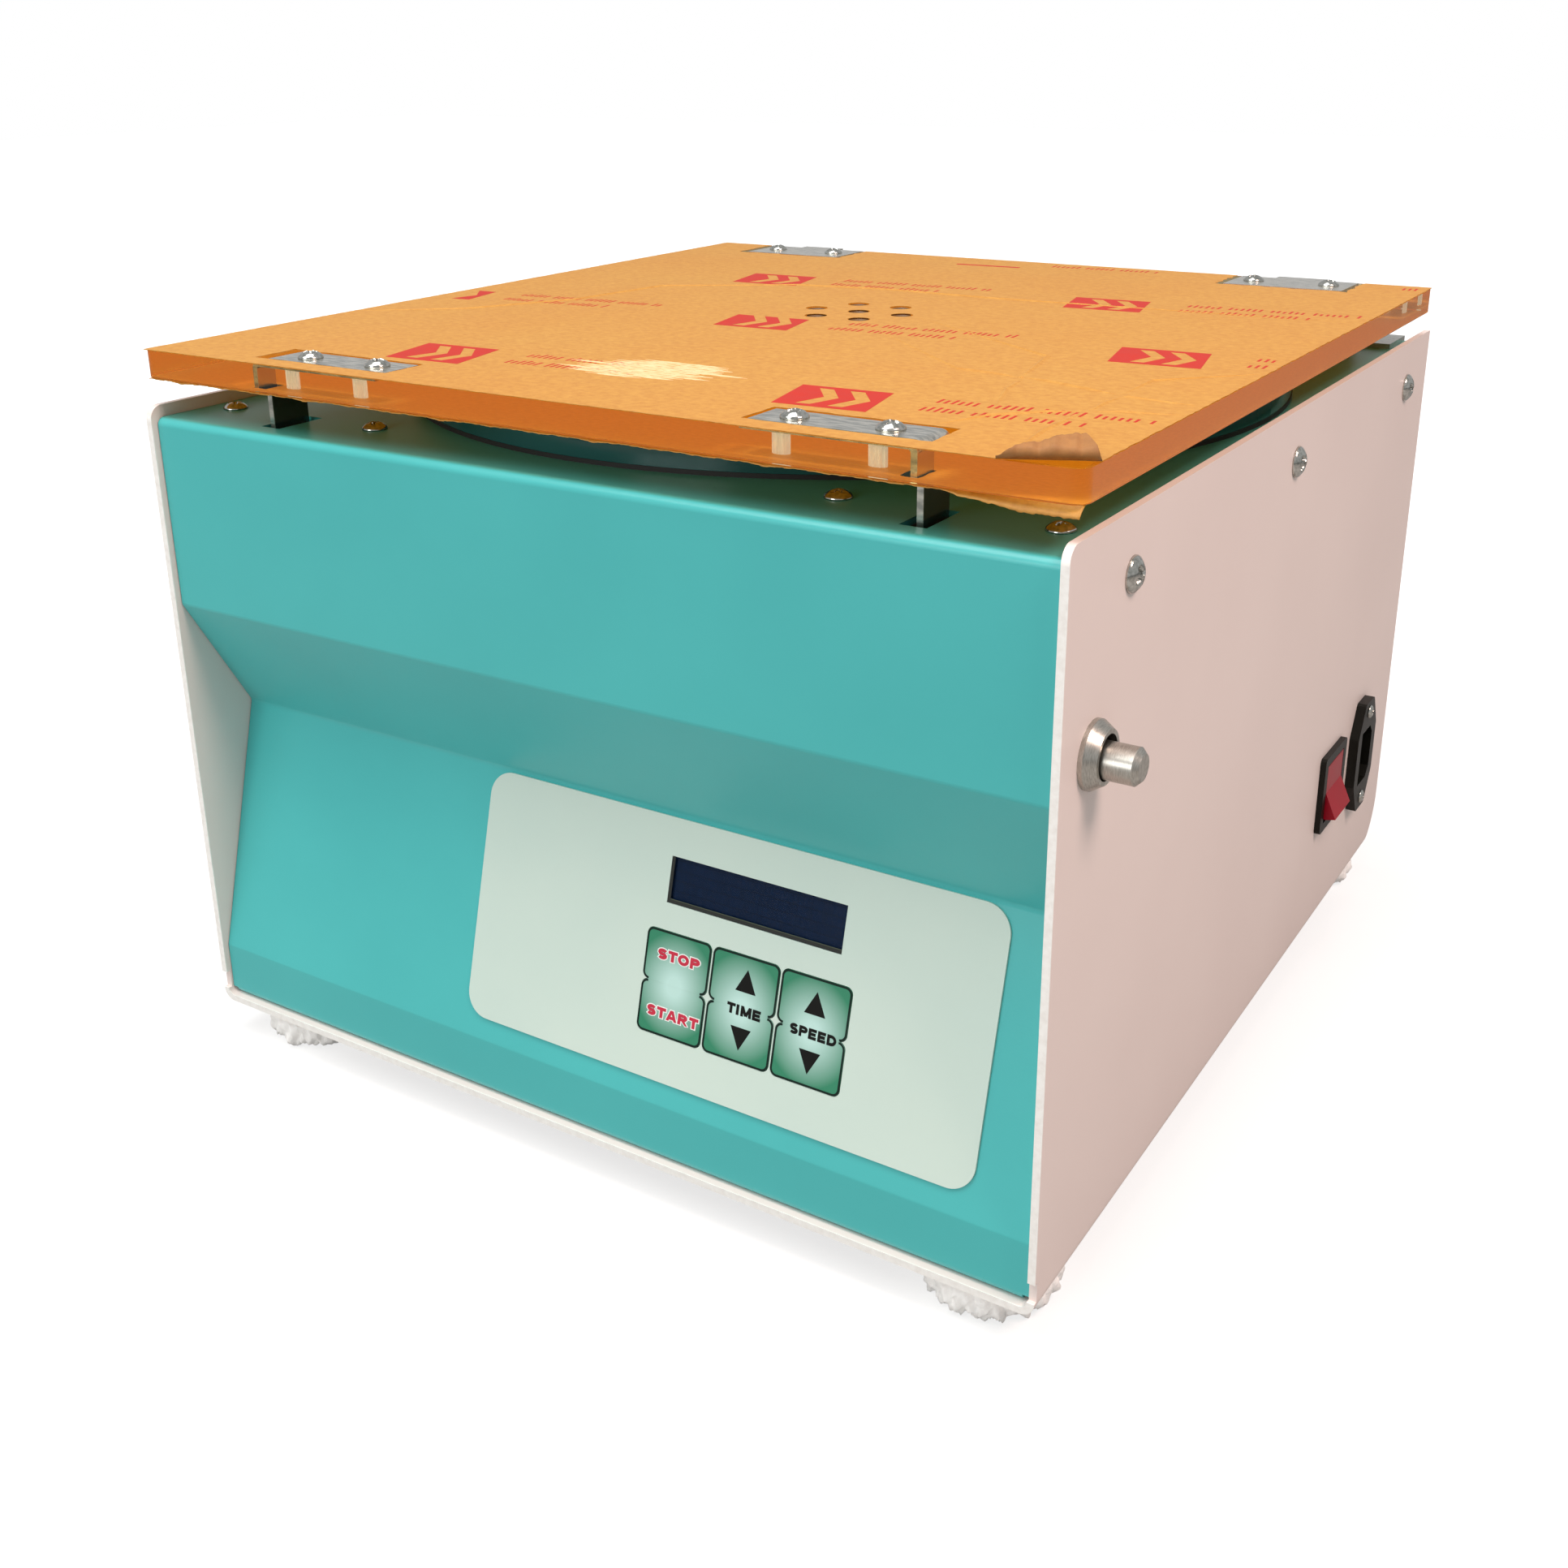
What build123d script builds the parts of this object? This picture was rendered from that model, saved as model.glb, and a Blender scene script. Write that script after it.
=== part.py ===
"""Bench centrifuge for eight butterfat test bottles, as an assembly of separate pieces.

Frame: millimetres, +Z up, the front faces -Y and +X is to the right as seen from the front.
The origin is on the surface that the feet stand on, below the rotor's axis.
"""
from build123d import *
import os
from math import cos, radians, sin, tan

# ---------------------------------------------------------------- driving dimensions, mm
# How far a cutter runs past the face that it opens, and a boss into the wall that it joins
PAST = 1.0

# Feet
FOOT_H = 14.0
FOOT_TOP_R = 14.0
FOOT_LOW_R = 11.0
FOOT_SIDE_INSET = 28.0
FOOT_END_INSET = 24.0
FOOT_BORE_R = 4.5
FOOT_SCREW_SEAT = 5.0
WRAP_GROWTH = 11.0
WRAP_T = 2.0
SOFT_GAP = 0.3

# Outer shell: floor and both walls bent from one sheet
CASE_W = 350.0
CASE_D = 380.0
WALL_ABOVE_DECK = 4.2
SHELL_T = 2.5
SHELL_BEND_R = 5.0
WALL_FRONT_TOP_R = 5.0
WALL_REAR_LOW_R = 24.0
CORNER_SLIT_W = 1.6
CORNER_SLIT_H = 7.0
SIDE_SCREW_FRONT_INSET = 44.4
SIDE_SCREW_REAR_INSET = 33.6
SIDE_SCREW_COUNT = 3
SIDE_SCREW_BELOW_DECK = 14.5
FLOOR_VENT_L = 60.0
FLOOR_VENT_W = 4.0
FLOOR_VENT_PITCH = 12.0
FLOOR_VENT_COUNT = 6
FLOOR_VENT_REAR_INSET = 67.0

# Deck and folded front, bent from one sheet
DECK_H = 233.5
DECK_T = 2.0
DECK_BEND_R = 3.0
DECK_SIDE_GAP = 0.3
FRONT_SETBACK = 2.4
FRONT_FOLD_1_BELOW_DECK = 69.1
FRONT_FOLD_2_H = 118.6
FRONT_FOLD_3_H = 23.6
FRONT_RECESS = 25.8
FRONT_FOOT_FLANGE = 20.0
DECK_REAR_INSET = 3.0
DECK_FLANGE_H = 26.0
DECK_SCREW_INSET = 14.5
DECK_SCREW_PITCH = 69.0
DECK_SCREW_SETBACK = 25.1

# Rear panel
REAR_T = 1.5
REAR_INSET = 1.5
REAR_FLOOR_FLANGE = 14.0
REAR_TOP_GAP = 1.0
REAR_VENT_L = 52.0
REAR_VENT_W = 4.0
REAR_VENT_PITCH = 11.0
REAR_VENT_ROWS = 7
REAR_VENT_INSET = 105.0
REAR_VENT_H = 120.0

# Bowl that guards the rotor, and its rubber parts
BOWL_SIDE_SPACE = 20.0
BOWL_FRONT_SPACE = 35.0
BOWL_T = 1.5
BOWL_CORNER_R = 25.0
BOWL_SLEEVE_GAP = 11.4
BOWL_LIP_W = 11.0
BOWL_LIP_H = 10.9
BOWL_GASKET_T = 1.5
BOWL_GASKET_W = 5.0
BOWL_DECK_GAP = 2.5
LID_SEAL_W = 4.0
SHAFT_SEAL_R = 24.0
SHAFT_SEAL_LIP = 4.0
SHAFT_SEAL_T = 2.0

# Lid
LID_OVERHANG = 1.7
LID_FRONT_INSET = 3.1
LID_REAR_INSET = 12.0
LID_T = 9.3
LID_CORNER_R = 5.0
LID_GAP = 14.1
FILM_T = 0.2
FILM_MARGIN = 1.0
VENT_R = 4.0
VENT_CIRCLE_R = 19.0
VENT_COUNT = 6
VENT_Y = 8.0
SEAL_GAP = 0.3

# Latch brackets let into the lid, with tongues that drop through the deck
LATCH_T = 2.0
LATCH_W = 15.5
LATCH_SETBACK = 18.6
LATCH_L = 55.5
TONGUE_SIDE_INSET = 49.5
TONGUE_DROP = 30.5
TONGUE_TAPER = 3.0
TONGUE_NOTCH_H = 8.5
TONGUE_NOTCH_D = 9.5
TONGUE_HOOK_H = 5.0
LATCH_BEND_R = 3.0
LATCH_SCREW_INSET = 11.0
LATCH_SCREW_PITCH = 31.0
POCKET_GAP = 0.4
DECK_SLOT_OFFSET = 1.0
DECK_SLOT_W = 8.6
DECK_SLOT_L = 20.0

# Hinges
HINGE_REAR_INSET = 6.0
HINGE_BELOW_TOP = 4.4
HINGE_SIDE_INSET = 54.0
HINGE_W = 50.0
HINGE_LEAF_DEPTH = 27.0
HINGE_LEAF_OVERHANG = 1.0
HINGE_LEAF_T = 2.0
BARREL_R = 3.5
HINGE_PIN_R = 2.0
HINGE_PIN_RUN = 0.05
KNUCKLE_W = 14.0
KNUCKLE_GAP = 0.4
HINGE_FOOT_DEPTH = 24.0
HINGE_FOOT_EXTRA = 20.0
HINGE_SCREW_INSET = 9.0

# Rotor
SLEEVE_COUNT = 8
SLEEVE_TILT = 38.0
SLEEVE_BORE_R = 13.0
SLEEVE_T = 1.2
SLEEVE_END_GAP = 5.0
SLEEVE_FLOOR_T = 2.0
SLEEVE_LIP_R = 16.2
SLEEVE_LIP_T = 2.0
SLEEVE_MOUTH_R = 44.0
SLEEVE_MOUTH_BELOW_DECK = 18.5
SLEEVE_FIT = 0.1
HEAD_T = 6.0
HEAD_INNER_RUN = 20.0
HEAD_OUTER_RUN = 21.0
PLATE_RIM = 5.2
PLATE_T = 4.0
PLATE_ALONG_SLEEVE = 0.64
PLATE_LIGHTENING_R = 15.0
PLATE_LIGHTENING_CIRCLE_R = 62.0
HUB_R = 20.0
HUB_FLANGE_R = 34.0
HUB_FLANGE_T = 6.0
HUB_NOSE = 6.0
NUT_R = 11.0
NUT_FLANGE_R = 13.0
NUT_FLANGE_T = 2.0
NUT_SOCKET_DEPTH = 2.0
NUT_H = 10.0
NUT_SOCKET_R = 3.2
SHAFT_R = 6.0
SHAFT_RUN = 0.05
SHAFT_FIT = 0.05
SHAFT_COLLAR_R = 10.0
SHAFT_COLLAR_H = 2.0
SHAFT_TOP_GAP = 2.0

# Motor
MOTOR_R = 60.0
MOTOR_BOWL_GAP = 6.5
MOTOR_BOSS_R = 20.0
MOTOR_BOSS_H = 3.5
MOTOR_FLANGE_R = 72.0
MOTOR_FLANGE_T = 5.0
MOTOR_BOLT_CIRCLE_R = 66.0
MOTOR_BOLT_R = 2.5
MOTOR_FIN_COUNT = 24
MOTOR_FIN_DEPTH = 3.0
MOTOR_FIN_W = 6.0
MOTOR_FIN_START = 10.0
MOTOR_SHOULDER_R = 3.0
MOTOR_PLATE_SIDE = 200.0
MOTOR_PLATE_T = 4.0
MOTOR_PLATE_CORNER_R = 12.0
ISOLATOR_PITCH = 170.0
ISOLATOR_R = 10.0
ISOLATOR_WAIST_R = 8.0
ISOLATOR_H = 15.0
ISOLATOR_BOLT_R = 3.0
ISOLATOR_BOLT_HEAD_R = 6.0
ISOLATOR_BOLT_HEAD_H = 2.5
ISOLATOR_NUT_H = 5.0
ISOLATOR_THREAD_END = 1.0
BOLT_FIT = 0.3

# Lock
COLLAR_SETBACK = 19.1
COLLAR_BELOW_DECK = 59.5
COLLAR_R = 10.2
COLLAR_MOUTH_R = 8.0
COLLAR_BORE_R = 6.7
COLLAR_RIM = 1.4
COLLAR_PROUD = 4.8
COLLAR_SPIGOT_R = 9.0
COLLAR_NUT_R = 13.0
COLLAR_NUT_T = 4.0
COLLAR_TAIL = 5.0
LOCK_PIN_R = 5.5
LOCK_PIN_SAG = 0.8
LOCK_PIN_PROUD = 15.0
LOCK_PIN_CHAMFER = 1.6
LOCK_TRAVEL = 6.5
LOCK_BAR_T = 3.0
LOCK_BAR_H = 12.0
LOCK_BAR_TIP_GAP = 5.0
LOCK_ARM_SIDE_INSET = 29.0
LOCK_ARM_T = 4.0
LOCK_ARM_W = 15.0
LOCK_ARM_BELOW_PIN = 8.0
LOCK_BOLT_R = 3.5
LOCK_BOLT_GAP = 1.5
LOCK_FINGER_GAP = 3.0
LOCK_FINGER_L = 10.0
LOCK_FINGER_W = 11.0
GUIDE_PLATE_T = 3.0
GUIDE_PLATE_W = 22.0
GUIDE_PLATE_L = 84.0
GUIDE_PLATE_SIDE_INSET = 7.0
GUIDE_LEG_L = 12.0
GUIDE_LEG_W = 12.0
GUIDE_LEG_BELOW = 4.0
GUIDE_FIT = 0.3

# Lid switch
SWITCH_L = 20.0
SWITCH_T = 6.0
SWITCH_H = 10.0
SWITCH_PLUNGER_R = 1.2
SWITCH_GAP = 0.5
SWITCH_PLUNGER_L = 4.0

# Control panel
OVERLAY_W = 200.0
OVERLAY_H = 89.0
OVERLAY_T = 0.8
OVERLAY_SIDE_INSET = 23.3
OVERLAY_TOP_GAP = 1.2
OVERLAY_CORNER_R = 9.0
WINDOW_W = 66.5
WINDOW_H = 15.6
WINDOW_OFFSET = 12.3
WINDOW_DOWN = 21.9
WINDOW_GAP = 0.1
KEY_COLUMNS = 3
KEY_COLUMN_PITCH = 26.4
KEY_ROW_PITCH = 17.8
KEY_W = 25.6
KEY_H = 17.6
KEY_T = 0.8
KEY_CORNER_R = 2.5
KEY_PROUD = 0.15
KEY_GAP = 0.15
KEY_DOWN = 56.9
KEY_TRAVEL = 0.4
KEY_CUTOUT_MARGIN = 1.8
DOME_R = 4.5
KEY_DOME_GAP = 0.3
KEY_BOARD_MARGIN = 3.0
BOARD_T = 1.6
DISPLAY_BEZEL_W = 71.5
DISPLAY_BEZEL_H = 24.0
DISPLAY_CUTOUT_GAP = 0.4
DISPLAY_FRONT_GAP = 0.2
DISPLAY_DEPTH = 4.5
DISPLAY_BOARD_W = 76.0
DISPLAY_BOARD_H = 30.0
DISPLAY_POST_R = 2.5

# Power rocker and inlet on the right wall
ROCKER_REAR_INSET = 93.5
ROCKER_H = 63.0
ROCKER_FRAME_W = 31.0
ROCKER_FRAME_H = 33.5
ROCKER_FRAME_PROUD = 2.4
ROCKER_FRAME_R = 2.0
ROCKER_BODY_W = 27.0
ROCKER_BODY_H = 29.5
ROCKER_BODY_DEPTH = 24.0
ROCKER_W = 22.0
ROCKER_L = 25.0
ROCKER_GAP = 0.4
ROCKER_SWING_GAP = 0.9
ROCKER_TILT = 12.0
ROCKER_T = 4.5
ROCKER_AXLE_R = 1.5
ROCKER_AXLE_RUN = 0.05
ROCKER_AXLE_BEHIND = 3.0
ROCKER_WELL_DEPTH = 9.0
INLET_REAR_INSET = 50.0
INLET_H = 61.5
INLET_FLANGE_W = 28.0
INLET_FLANGE_H = 50.0
INLET_FLANGE_T = 4.0
INLET_FLANGE_R = 2.0
INLET_SIDE_H = 22.0
INLET_EAR_W = 13.0
INLET_BODY_W = 20.5
INLET_BODY_H = 28.0
INLET_BODY_DEPTH = 25.0
INLET_SOCKET_W = 16.4
INLET_SOCKET_H = 24.4
INLET_SOCKET_DEPTH = 17.0
INLET_SOCKET_CHAMFER = 4.0
INLET_BLADE_T = 2.0
INLET_BLADE_W = 4.0
INLET_BLADE_L = 14.5
INLET_BLADE_PITCH = 14.0
INLET_BLADE_STAGGER = 4.0
INLET_SCREW_PITCH = 40.0
PANEL_GAP = 0.2

# Power board on the floor
POWER_BOARD_L = 100.0
POWER_BOARD_W = 44.0
POWER_BOARD_SIDE_INSET = 75.0
POWER_BOARD_REAR_INSET = 59.0
POWER_POST_H = 8.0
POWER_POST_R = 3.0
POWER_POST_INSET = 6.0
TRANSFORMER_L = 40.0
TRANSFORMER_W = 34.0
TRANSFORMER_H = 28.0
CAPACITOR_R = 9.0
CAPACITOR_H = 25.0
CAPACITOR_COUNT = 2
CAPACITOR_GAP = 3.0

# Fasteners
SIDE_SCREW_R = 3.0
SIDE_SCREW_HEAD_R = 6.0
SIDE_SCREW_HEAD_H = 3.3
SIDE_SCREW_L = 10.0
SMALL_SCREW_R = 2.5
SMALL_SCREW_HEAD_R = 4.3
SMALL_SCREW_HEAD_H = 2.5
SMALL_SCREW_L = 7.5
INLET_SCREW_R = 1.5
INLET_SCREW_HEAD_R = 2.9
INLET_SCREW_HEAD_H = 1.6
INLET_SCREW_L = 8.0
SCREW_FIT = 0.1
SCREW_TIP_GAP = 0.5

# ---------------------------------------------------------------- places worked out from them
HALF_W = CASE_W / 2
HALF_D = CASE_D / 2
WALL_H = DECK_H + WALL_ABOVE_DECK
FOOT_X = HALF_W - FOOT_SIDE_INSET
FOOT_Y = HALF_D - FOOT_END_INSET
FLOOR_Z = FOOT_H
FLOOR_TOP_Z = FOOT_H + SHELL_T
WALL_TOP_Z = FOOT_H + WALL_H
WALL_INNER_X = HALF_W - SHELL_T
DECK_Z = FOOT_H + DECK_H
DECK_UNDER_Z = DECK_Z - DECK_T
DECK_HALF_W = WALL_INNER_X - DECK_SIDE_GAP
FRONT_Y = -HALF_D + FRONT_SETBACK
RECESS_Y = FRONT_Y + FRONT_RECESS
DECK_REAR_Y = HALF_D - DECK_REAR_INSET
DECK_SCREW_OUTER_X = HALF_W - DECK_SCREW_INSET
DECK_SCREW_INNER_X = DECK_SCREW_OUTER_X - DECK_SCREW_PITCH
DECK_SCREW_Y = FRONT_Y + DECK_SCREW_SETBACK
LID_W = CASE_W + 2 * LID_OVERHANG
LID_FRONT_Y = -HALF_D + LID_FRONT_INSET
LID_REAR_Y = HALF_D - LID_REAR_INSET
LID_UNDER_Z = DECK_Z + LID_GAP
LID_TOP_Z = LID_UNDER_Z + LID_T
LID_DEPTH = LID_REAR_Y - LID_FRONT_Y
LID_MID_Y = (LID_REAR_Y + LID_FRONT_Y) / 2
HINGE_X = HALF_W - HINGE_SIDE_INSET
HINGE_Y = HALF_D - HINGE_REAR_INSET
HINGE_Z = LID_TOP_Z - HINGE_BELOW_TOP
LEAF_REAR_Y = LID_REAR_Y + HINGE_LEAF_OVERHANG
SIDE_SCREW_Z = DECK_Z - SIDE_SCREW_BELOW_DECK
GASKET_TOP_Z = DECK_Z + BOWL_GASKET_T
LIP_TOP_Z = GASKET_TOP_Z + BOWL_LIP_H
BOWL_INNER_R = min(HALF_W - BOWL_SIDE_SPACE, HALF_D - BOWL_FRONT_SPACE)
BOWL_OUTER_R = BOWL_INNER_R + BOWL_T
BOWL_LIP_R = BOWL_INNER_R + BOWL_LIP_W
TILT = radians(SLEEVE_TILT)
SLEEVE_R = SLEEVE_BORE_R + SLEEVE_T
SLEEVE_L = (BOWL_INNER_R - SLEEVE_END_GAP - SLEEVE_R * cos(TILT) - SLEEVE_MOUTH_R) / sin(TILT)
MOUTH_Z = DECK_Z - SLEEVE_MOUTH_BELOW_DECK
PLATE_Z = MOUTH_Z - PLATE_ALONG_SLEEVE * SLEEVE_L * cos(TILT) - PLATE_T / 2
PLATE_R = SLEEVE_MOUTH_R + PLATE_ALONG_SLEEVE * SLEEVE_L * sin(TILT) + SLEEVE_R / cos(TILT) + PLATE_RIM
BOWL_FLOOR_Z = MOUTH_Z - SLEEVE_L * cos(TILT) - SLEEVE_R * sin(TILT) - BOWL_SLEEVE_GAP
BOWL_UNDER_Z = BOWL_FLOOR_Z - BOWL_T
MOTOR_PLATE_Z = FLOOR_TOP_Z + ISOLATOR_H
MOTOR_Z = MOTOR_PLATE_Z + MOTOR_PLATE_T
MOTOR_TOP_Z = BOWL_UNDER_Z - MOTOR_BOWL_GAP
LATCH_Y = FRONT_Y + LATCH_SETBACK
TONGUE_X = HALF_W - TONGUE_SIDE_INSET
LATCH_INNER_X = TONGUE_X - LATCH_L
DECK_SLOT_X = TONGUE_X - DECK_SLOT_OFFSET
TONGUE_TIP_Z = DECK_Z - TONGUE_DROP
NOTCH_LOW_Z = TONGUE_TIP_Z + TONGUE_HOOK_H
LOCK_BOLT_Z = NOTCH_LOW_Z + TONGUE_NOTCH_H / 2
LOCK_BOLT_Y = LATCH_Y + LATCH_W / 2 - TONGUE_NOTCH_D / 2
LOCK_BAR_TOP_Z = TONGUE_TIP_Z - LOCK_BAR_TIP_GAP
LOCK_BOLT_L = LOCK_TRAVEL + LOCK_FINGER_GAP - LOCK_BOLT_GAP
COLLAR_Y = FRONT_Y + COLLAR_SETBACK
COLLAR_Z = DECK_Z - COLLAR_BELOW_DECK
LOCK_ARM_X = HALF_W - LOCK_ARM_SIDE_INSET
GUIDE_PLATE_OUTER_X = HALF_W - GUIDE_PLATE_SIDE_INSET
GUIDE_PLATE_INNER_X = GUIDE_PLATE_OUTER_X - GUIDE_PLATE_L
LOCK_PIN_Z = COLLAR_Z - LOCK_PIN_SAG
TONGUE_FAR_X = TONGUE_X + LATCH_T / 2
OVERLAY_X = HALF_W - OVERLAY_SIDE_INSET - OVERLAY_W / 2
WINDOW_X = OVERLAY_X + WINDOW_OFFSET
ROCKER_Y = HALF_D - ROCKER_REAR_INSET
ROCKER_Z = FOOT_H + ROCKER_H
INLET_Y = HALF_D - INLET_REAR_INSET
INLET_Z = FOOT_H + INLET_H
POWER_BOARD_X = POWER_BOARD_SIDE_INSET - HALF_W
POWER_BOARD_Y = HALF_D - POWER_BOARD_REAR_INSET
LATCH_SCREW_INNER_X = LATCH_INNER_X + LATCH_SCREW_INSET
LATCH_SCREW_OUTER_X = LATCH_SCREW_INNER_X + LATCH_SCREW_PITCH
DOME_H = DECK_T + OVERLAY_T + KEY_PROUD - KEY_T - KEY_TRAVEL - KEY_DOME_GAP

parts = {}
small_screws = []


# ---------------------------------------------------------------- shared forms
def bent_sheet(points, bend_radii, thickness, side=Side.LEFT):
    """Section of a sheet bent along a run of points, its thickness laid to one side."""
    run = Wire(FilletPolyline(*points, radius=bend_radii).edges())
    return make_face(run.offset_2d(thickness, side=side, closed=True).edges())


def slab(x0, x1, y0, y1, z0, z1):
    """Straight-sided block between two corners."""
    return Pos((x0 + x1) / 2, (y0 + y1) / 2, (z0 + z1) / 2) * Box(x1 - x0, y1 - y0, z1 - z0)


def upright(radius, z0, z1, x=0.0, y=0.0):
    """Cylinder standing on z0."""
    return Pos(x, y, (z0 + z1) / 2) * Cylinder(radius, z1 - z0)


def through(radius, z0, z1, x=0.0, y=0.0):
    """Round cutter that runs past both faces of what lies between z0 and z1."""
    return upright(radius, z0 - PAST, z1 + PAST, x, y)


def ring(inner, outer, z0, z1):
    """Flat ring about the rotor's axis."""
    return upright(outer, z0, z1) - through(inner, z0, z1)


def along_x(radius, x0, x1, y, z):
    """Cylinder lying along X."""
    return Pos((x0 + x1) / 2, y, z) * Rot(0, 90, 0) * Cylinder(radius, x1 - x0)


def round_slot(length, width, depth):
    """Slot-shaped cutter lying along X."""
    return extrude(SlotOverall(length, width), depth / 2, both=True)


def domed_screw(head_r, head_h, shank_r, length):
    """Screw with a domed head, its seat at z = 0 and its shank pointing down."""
    dome_r = (head_r ** 2 + head_h ** 2) / (2 * head_h)
    ball = Pos(0, 0, head_h - dome_r) * Sphere(dome_r)
    head = ball & upright(head_r, 0, head_h)
    return head + upright(shank_r, -length, head_h / 2)


def small_screw(z):
    """Deck and lid screw with its head seated at z."""
    return Pos(0, 0, z) * domed_screw(SMALL_SCREW_HEAD_R, SMALL_SCREW_HEAD_H, SMALL_SCREW_R, SMALL_SCREW_L)


def pin_profile(points):
    """Turned solid about Z from the half section given as (r, z) points."""
    return revolve(Plane.XZ * make_face(Polyline(*points, close=True)), Axis.Z)


def mirrored(shape):
    """The same piece on the other side of the machine."""
    return mirror(shape, about=Plane.YZ)


def each(shapes):
    """One node made of several separate solids."""
    return Compound(children=[s for shape in shapes for s in shape.solids()])


# ---------------------------------------------------------------- feet
def build_feet():
    """Four turned rubber feet, each on a screw sunk in its own counterbore."""
    profile = [
        (0, FOOT_H), (FOOT_TOP_R, FOOT_H), (FOOT_LOW_R, 0), (FOOT_BORE_R, 0),
        (FOOT_BORE_R, FOOT_H - FOOT_SCREW_SEAT), (0, FOOT_H - FOOT_SCREW_SEAT),
    ]
    foot = pin_profile(profile) - upright(SMALL_SCREW_R + SCREW_FIT, 0, FOOT_H + PAST)
    screw = Pos(0, 0, FOOT_H - FOOT_SCREW_SEAT) * Rot(180, 0, 0) * domed_screw(
        SMALL_SCREW_HEAD_R - SCREW_FIT, SMALL_SCREW_HEAD_H, SMALL_SCREW_R, FOOT_SCREW_SEAT + SHELL_T)
    wrap_low_r = FOOT_LOW_R + SOFT_GAP
    wrap_top_r = FOOT_TOP_R + SOFT_GAP
    wrap = pin_profile([
        (wrap_low_r, SOFT_GAP), (wrap_low_r + WRAP_T, SOFT_GAP),
        (wrap_top_r + WRAP_GROWTH, FOOT_H / 2), (wrap_top_r + WRAP_GROWTH, FOOT_H - SOFT_GAP),
        (wrap_top_r, FOOT_H - SOFT_GAP),
    ])
    places = [Pos(x, y, 0) for x in (-FOOT_X, FOOT_X) for y in (-FOOT_Y, FOOT_Y)]
    parts["feet"] = each([p * foot for p in places])
    small_screws.extend(p * screw for p in places)
    parts["foot_wraps"] = each([p * wrap for p in places])


# ---------------------------------------------------------------- outer shell
def side_screw_places():
    """(y, z) of the wall screws."""
    first_y = -HALF_D + SIDE_SCREW_FRONT_INSET
    pitch = (HALF_D - SIDE_SCREW_REAR_INSET - first_y) / (SIDE_SCREW_COUNT - 1)
    return [(first_y + i * pitch, SIDE_SCREW_Z) for i in range(SIDE_SCREW_COUNT)]


def build_shell():
    """Floor and walls, with the wall outline, screw holes, right-hand cut-outs and floor vents."""
    outer = [(-HALF_W, WALL_TOP_Z), (-HALF_W, FLOOR_Z), (HALF_W, FLOOR_Z), (HALF_W, WALL_TOP_Z)]
    shell = extrude(Plane.XZ * bent_sheet(outer, SHELL_BEND_R, SHELL_T), HALF_D, both=True)
    outline = Pos(0, FLOOR_Z + WALL_H / 2) * Rectangle(CASE_D, WALL_H)
    front_top = outline.vertices().group_by(Axis.X)[0].sort_by(Axis.Y)[-1]
    outline = fillet(front_top, WALL_FRONT_TOP_R)
    rear_low = outline.vertices().group_by(Axis.X)[-1].sort_by(Axis.Y)[0]
    outline = fillet(rear_low, WALL_REAR_LOW_R)
    shell &= extrude(Plane.YZ * outline, HALF_W + PAST, both=True)
    for y, z in side_screw_places():
        shell -= along_x(SIDE_SCREW_R + BOLT_FIT, -HALF_W - PAST, HALF_W + PAST, y, z)
    shell -= along_x(COLLAR_SPIGOT_R + PANEL_GAP, WALL_INNER_X - PAST, HALF_W + PAST, COLLAR_Y, COLLAR_Z)
    shell -= wall_opening(ROCKER_Y, ROCKER_Z, ROCKER_BODY_W, ROCKER_BODY_H)
    shell -= wall_opening(INLET_Y, INLET_Z, INLET_BODY_W, INLET_BODY_H)
    for side in (-1, 1):
        z = INLET_Z + side * INLET_SCREW_PITCH / 2
        shell -= along_x(INLET_SCREW_R + SCREW_FIT, WALL_INNER_X - PAST, HALF_W + PAST, INLET_Y, z)
    slit_z = FLOOR_Z + SHELL_BEND_R
    slit = slab(WALL_INNER_X - CORNER_SLIT_W, HALF_W, -HALF_D - PAST, -HALF_D + CORNER_SLIT_W,
                slit_z, slit_z + CORNER_SLIT_H)
    shell -= slit + mirrored(slit)
    for x in (-FOOT_X, FOOT_X):
        for y in (-FOOT_Y, FOOT_Y):
            shell -= through(SMALL_SCREW_R + SCREW_FIT, FLOOR_Z, FLOOR_TOP_Z, x, y)
    half_pitch = ISOLATOR_PITCH / 2
    for x in (-half_pitch, half_pitch):
        for y in (-half_pitch, half_pitch):
            shell -= through(ISOLATOR_BOLT_R + BOLT_FIT, FLOOR_Z, FLOOR_TOP_Z, x, y)
    for i in range(FLOOR_VENT_COUNT):
        y = HALF_D - FLOOR_VENT_REAR_INSET - i * FLOOR_VENT_PITCH
        vent = round_slot(FLOOR_VENT_L, FLOOR_VENT_W, 4 * SHELL_T)
        shell -= Pos(0, y, FLOOR_Z) * vent
    parts["base_shell"] = shell


def wall_opening(y, z, width, height):
    """Cutter for a rectangular hole in the right wall, with room for the body that passes through."""
    return slab(WALL_INNER_X - PAST, HALF_W + PAST, y - width / 2 - PANEL_GAP, y + width / 2 + PANEL_GAP,
                z - height / 2 - PANEL_GAP, z + height / 2 + PANEL_GAP)


# ---------------------------------------------------------------- control face
FOLD_2 = Vector(0, RECESS_Y, FOOT_H + FRONT_FOLD_2_H)
FOLD_3 = Vector(0, FRONT_Y, FOOT_H + FRONT_FOLD_3_H)
FACE_UP = (FOLD_2 - FOLD_3).normalized()
FACE_OUT = Vector(1, 0, 0).cross(FACE_UP)
FACE_PLANE = Plane(origin=FOLD_2, x_dir=(1, 0, 0), z_dir=FACE_OUT)


def on_face(shape, x, down, out=0.0):
    """A shape moved from its own XY plane to the control face, down from the upper fold."""
    return FACE_PLANE * Pos(x, -down, out) * shape


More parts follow.
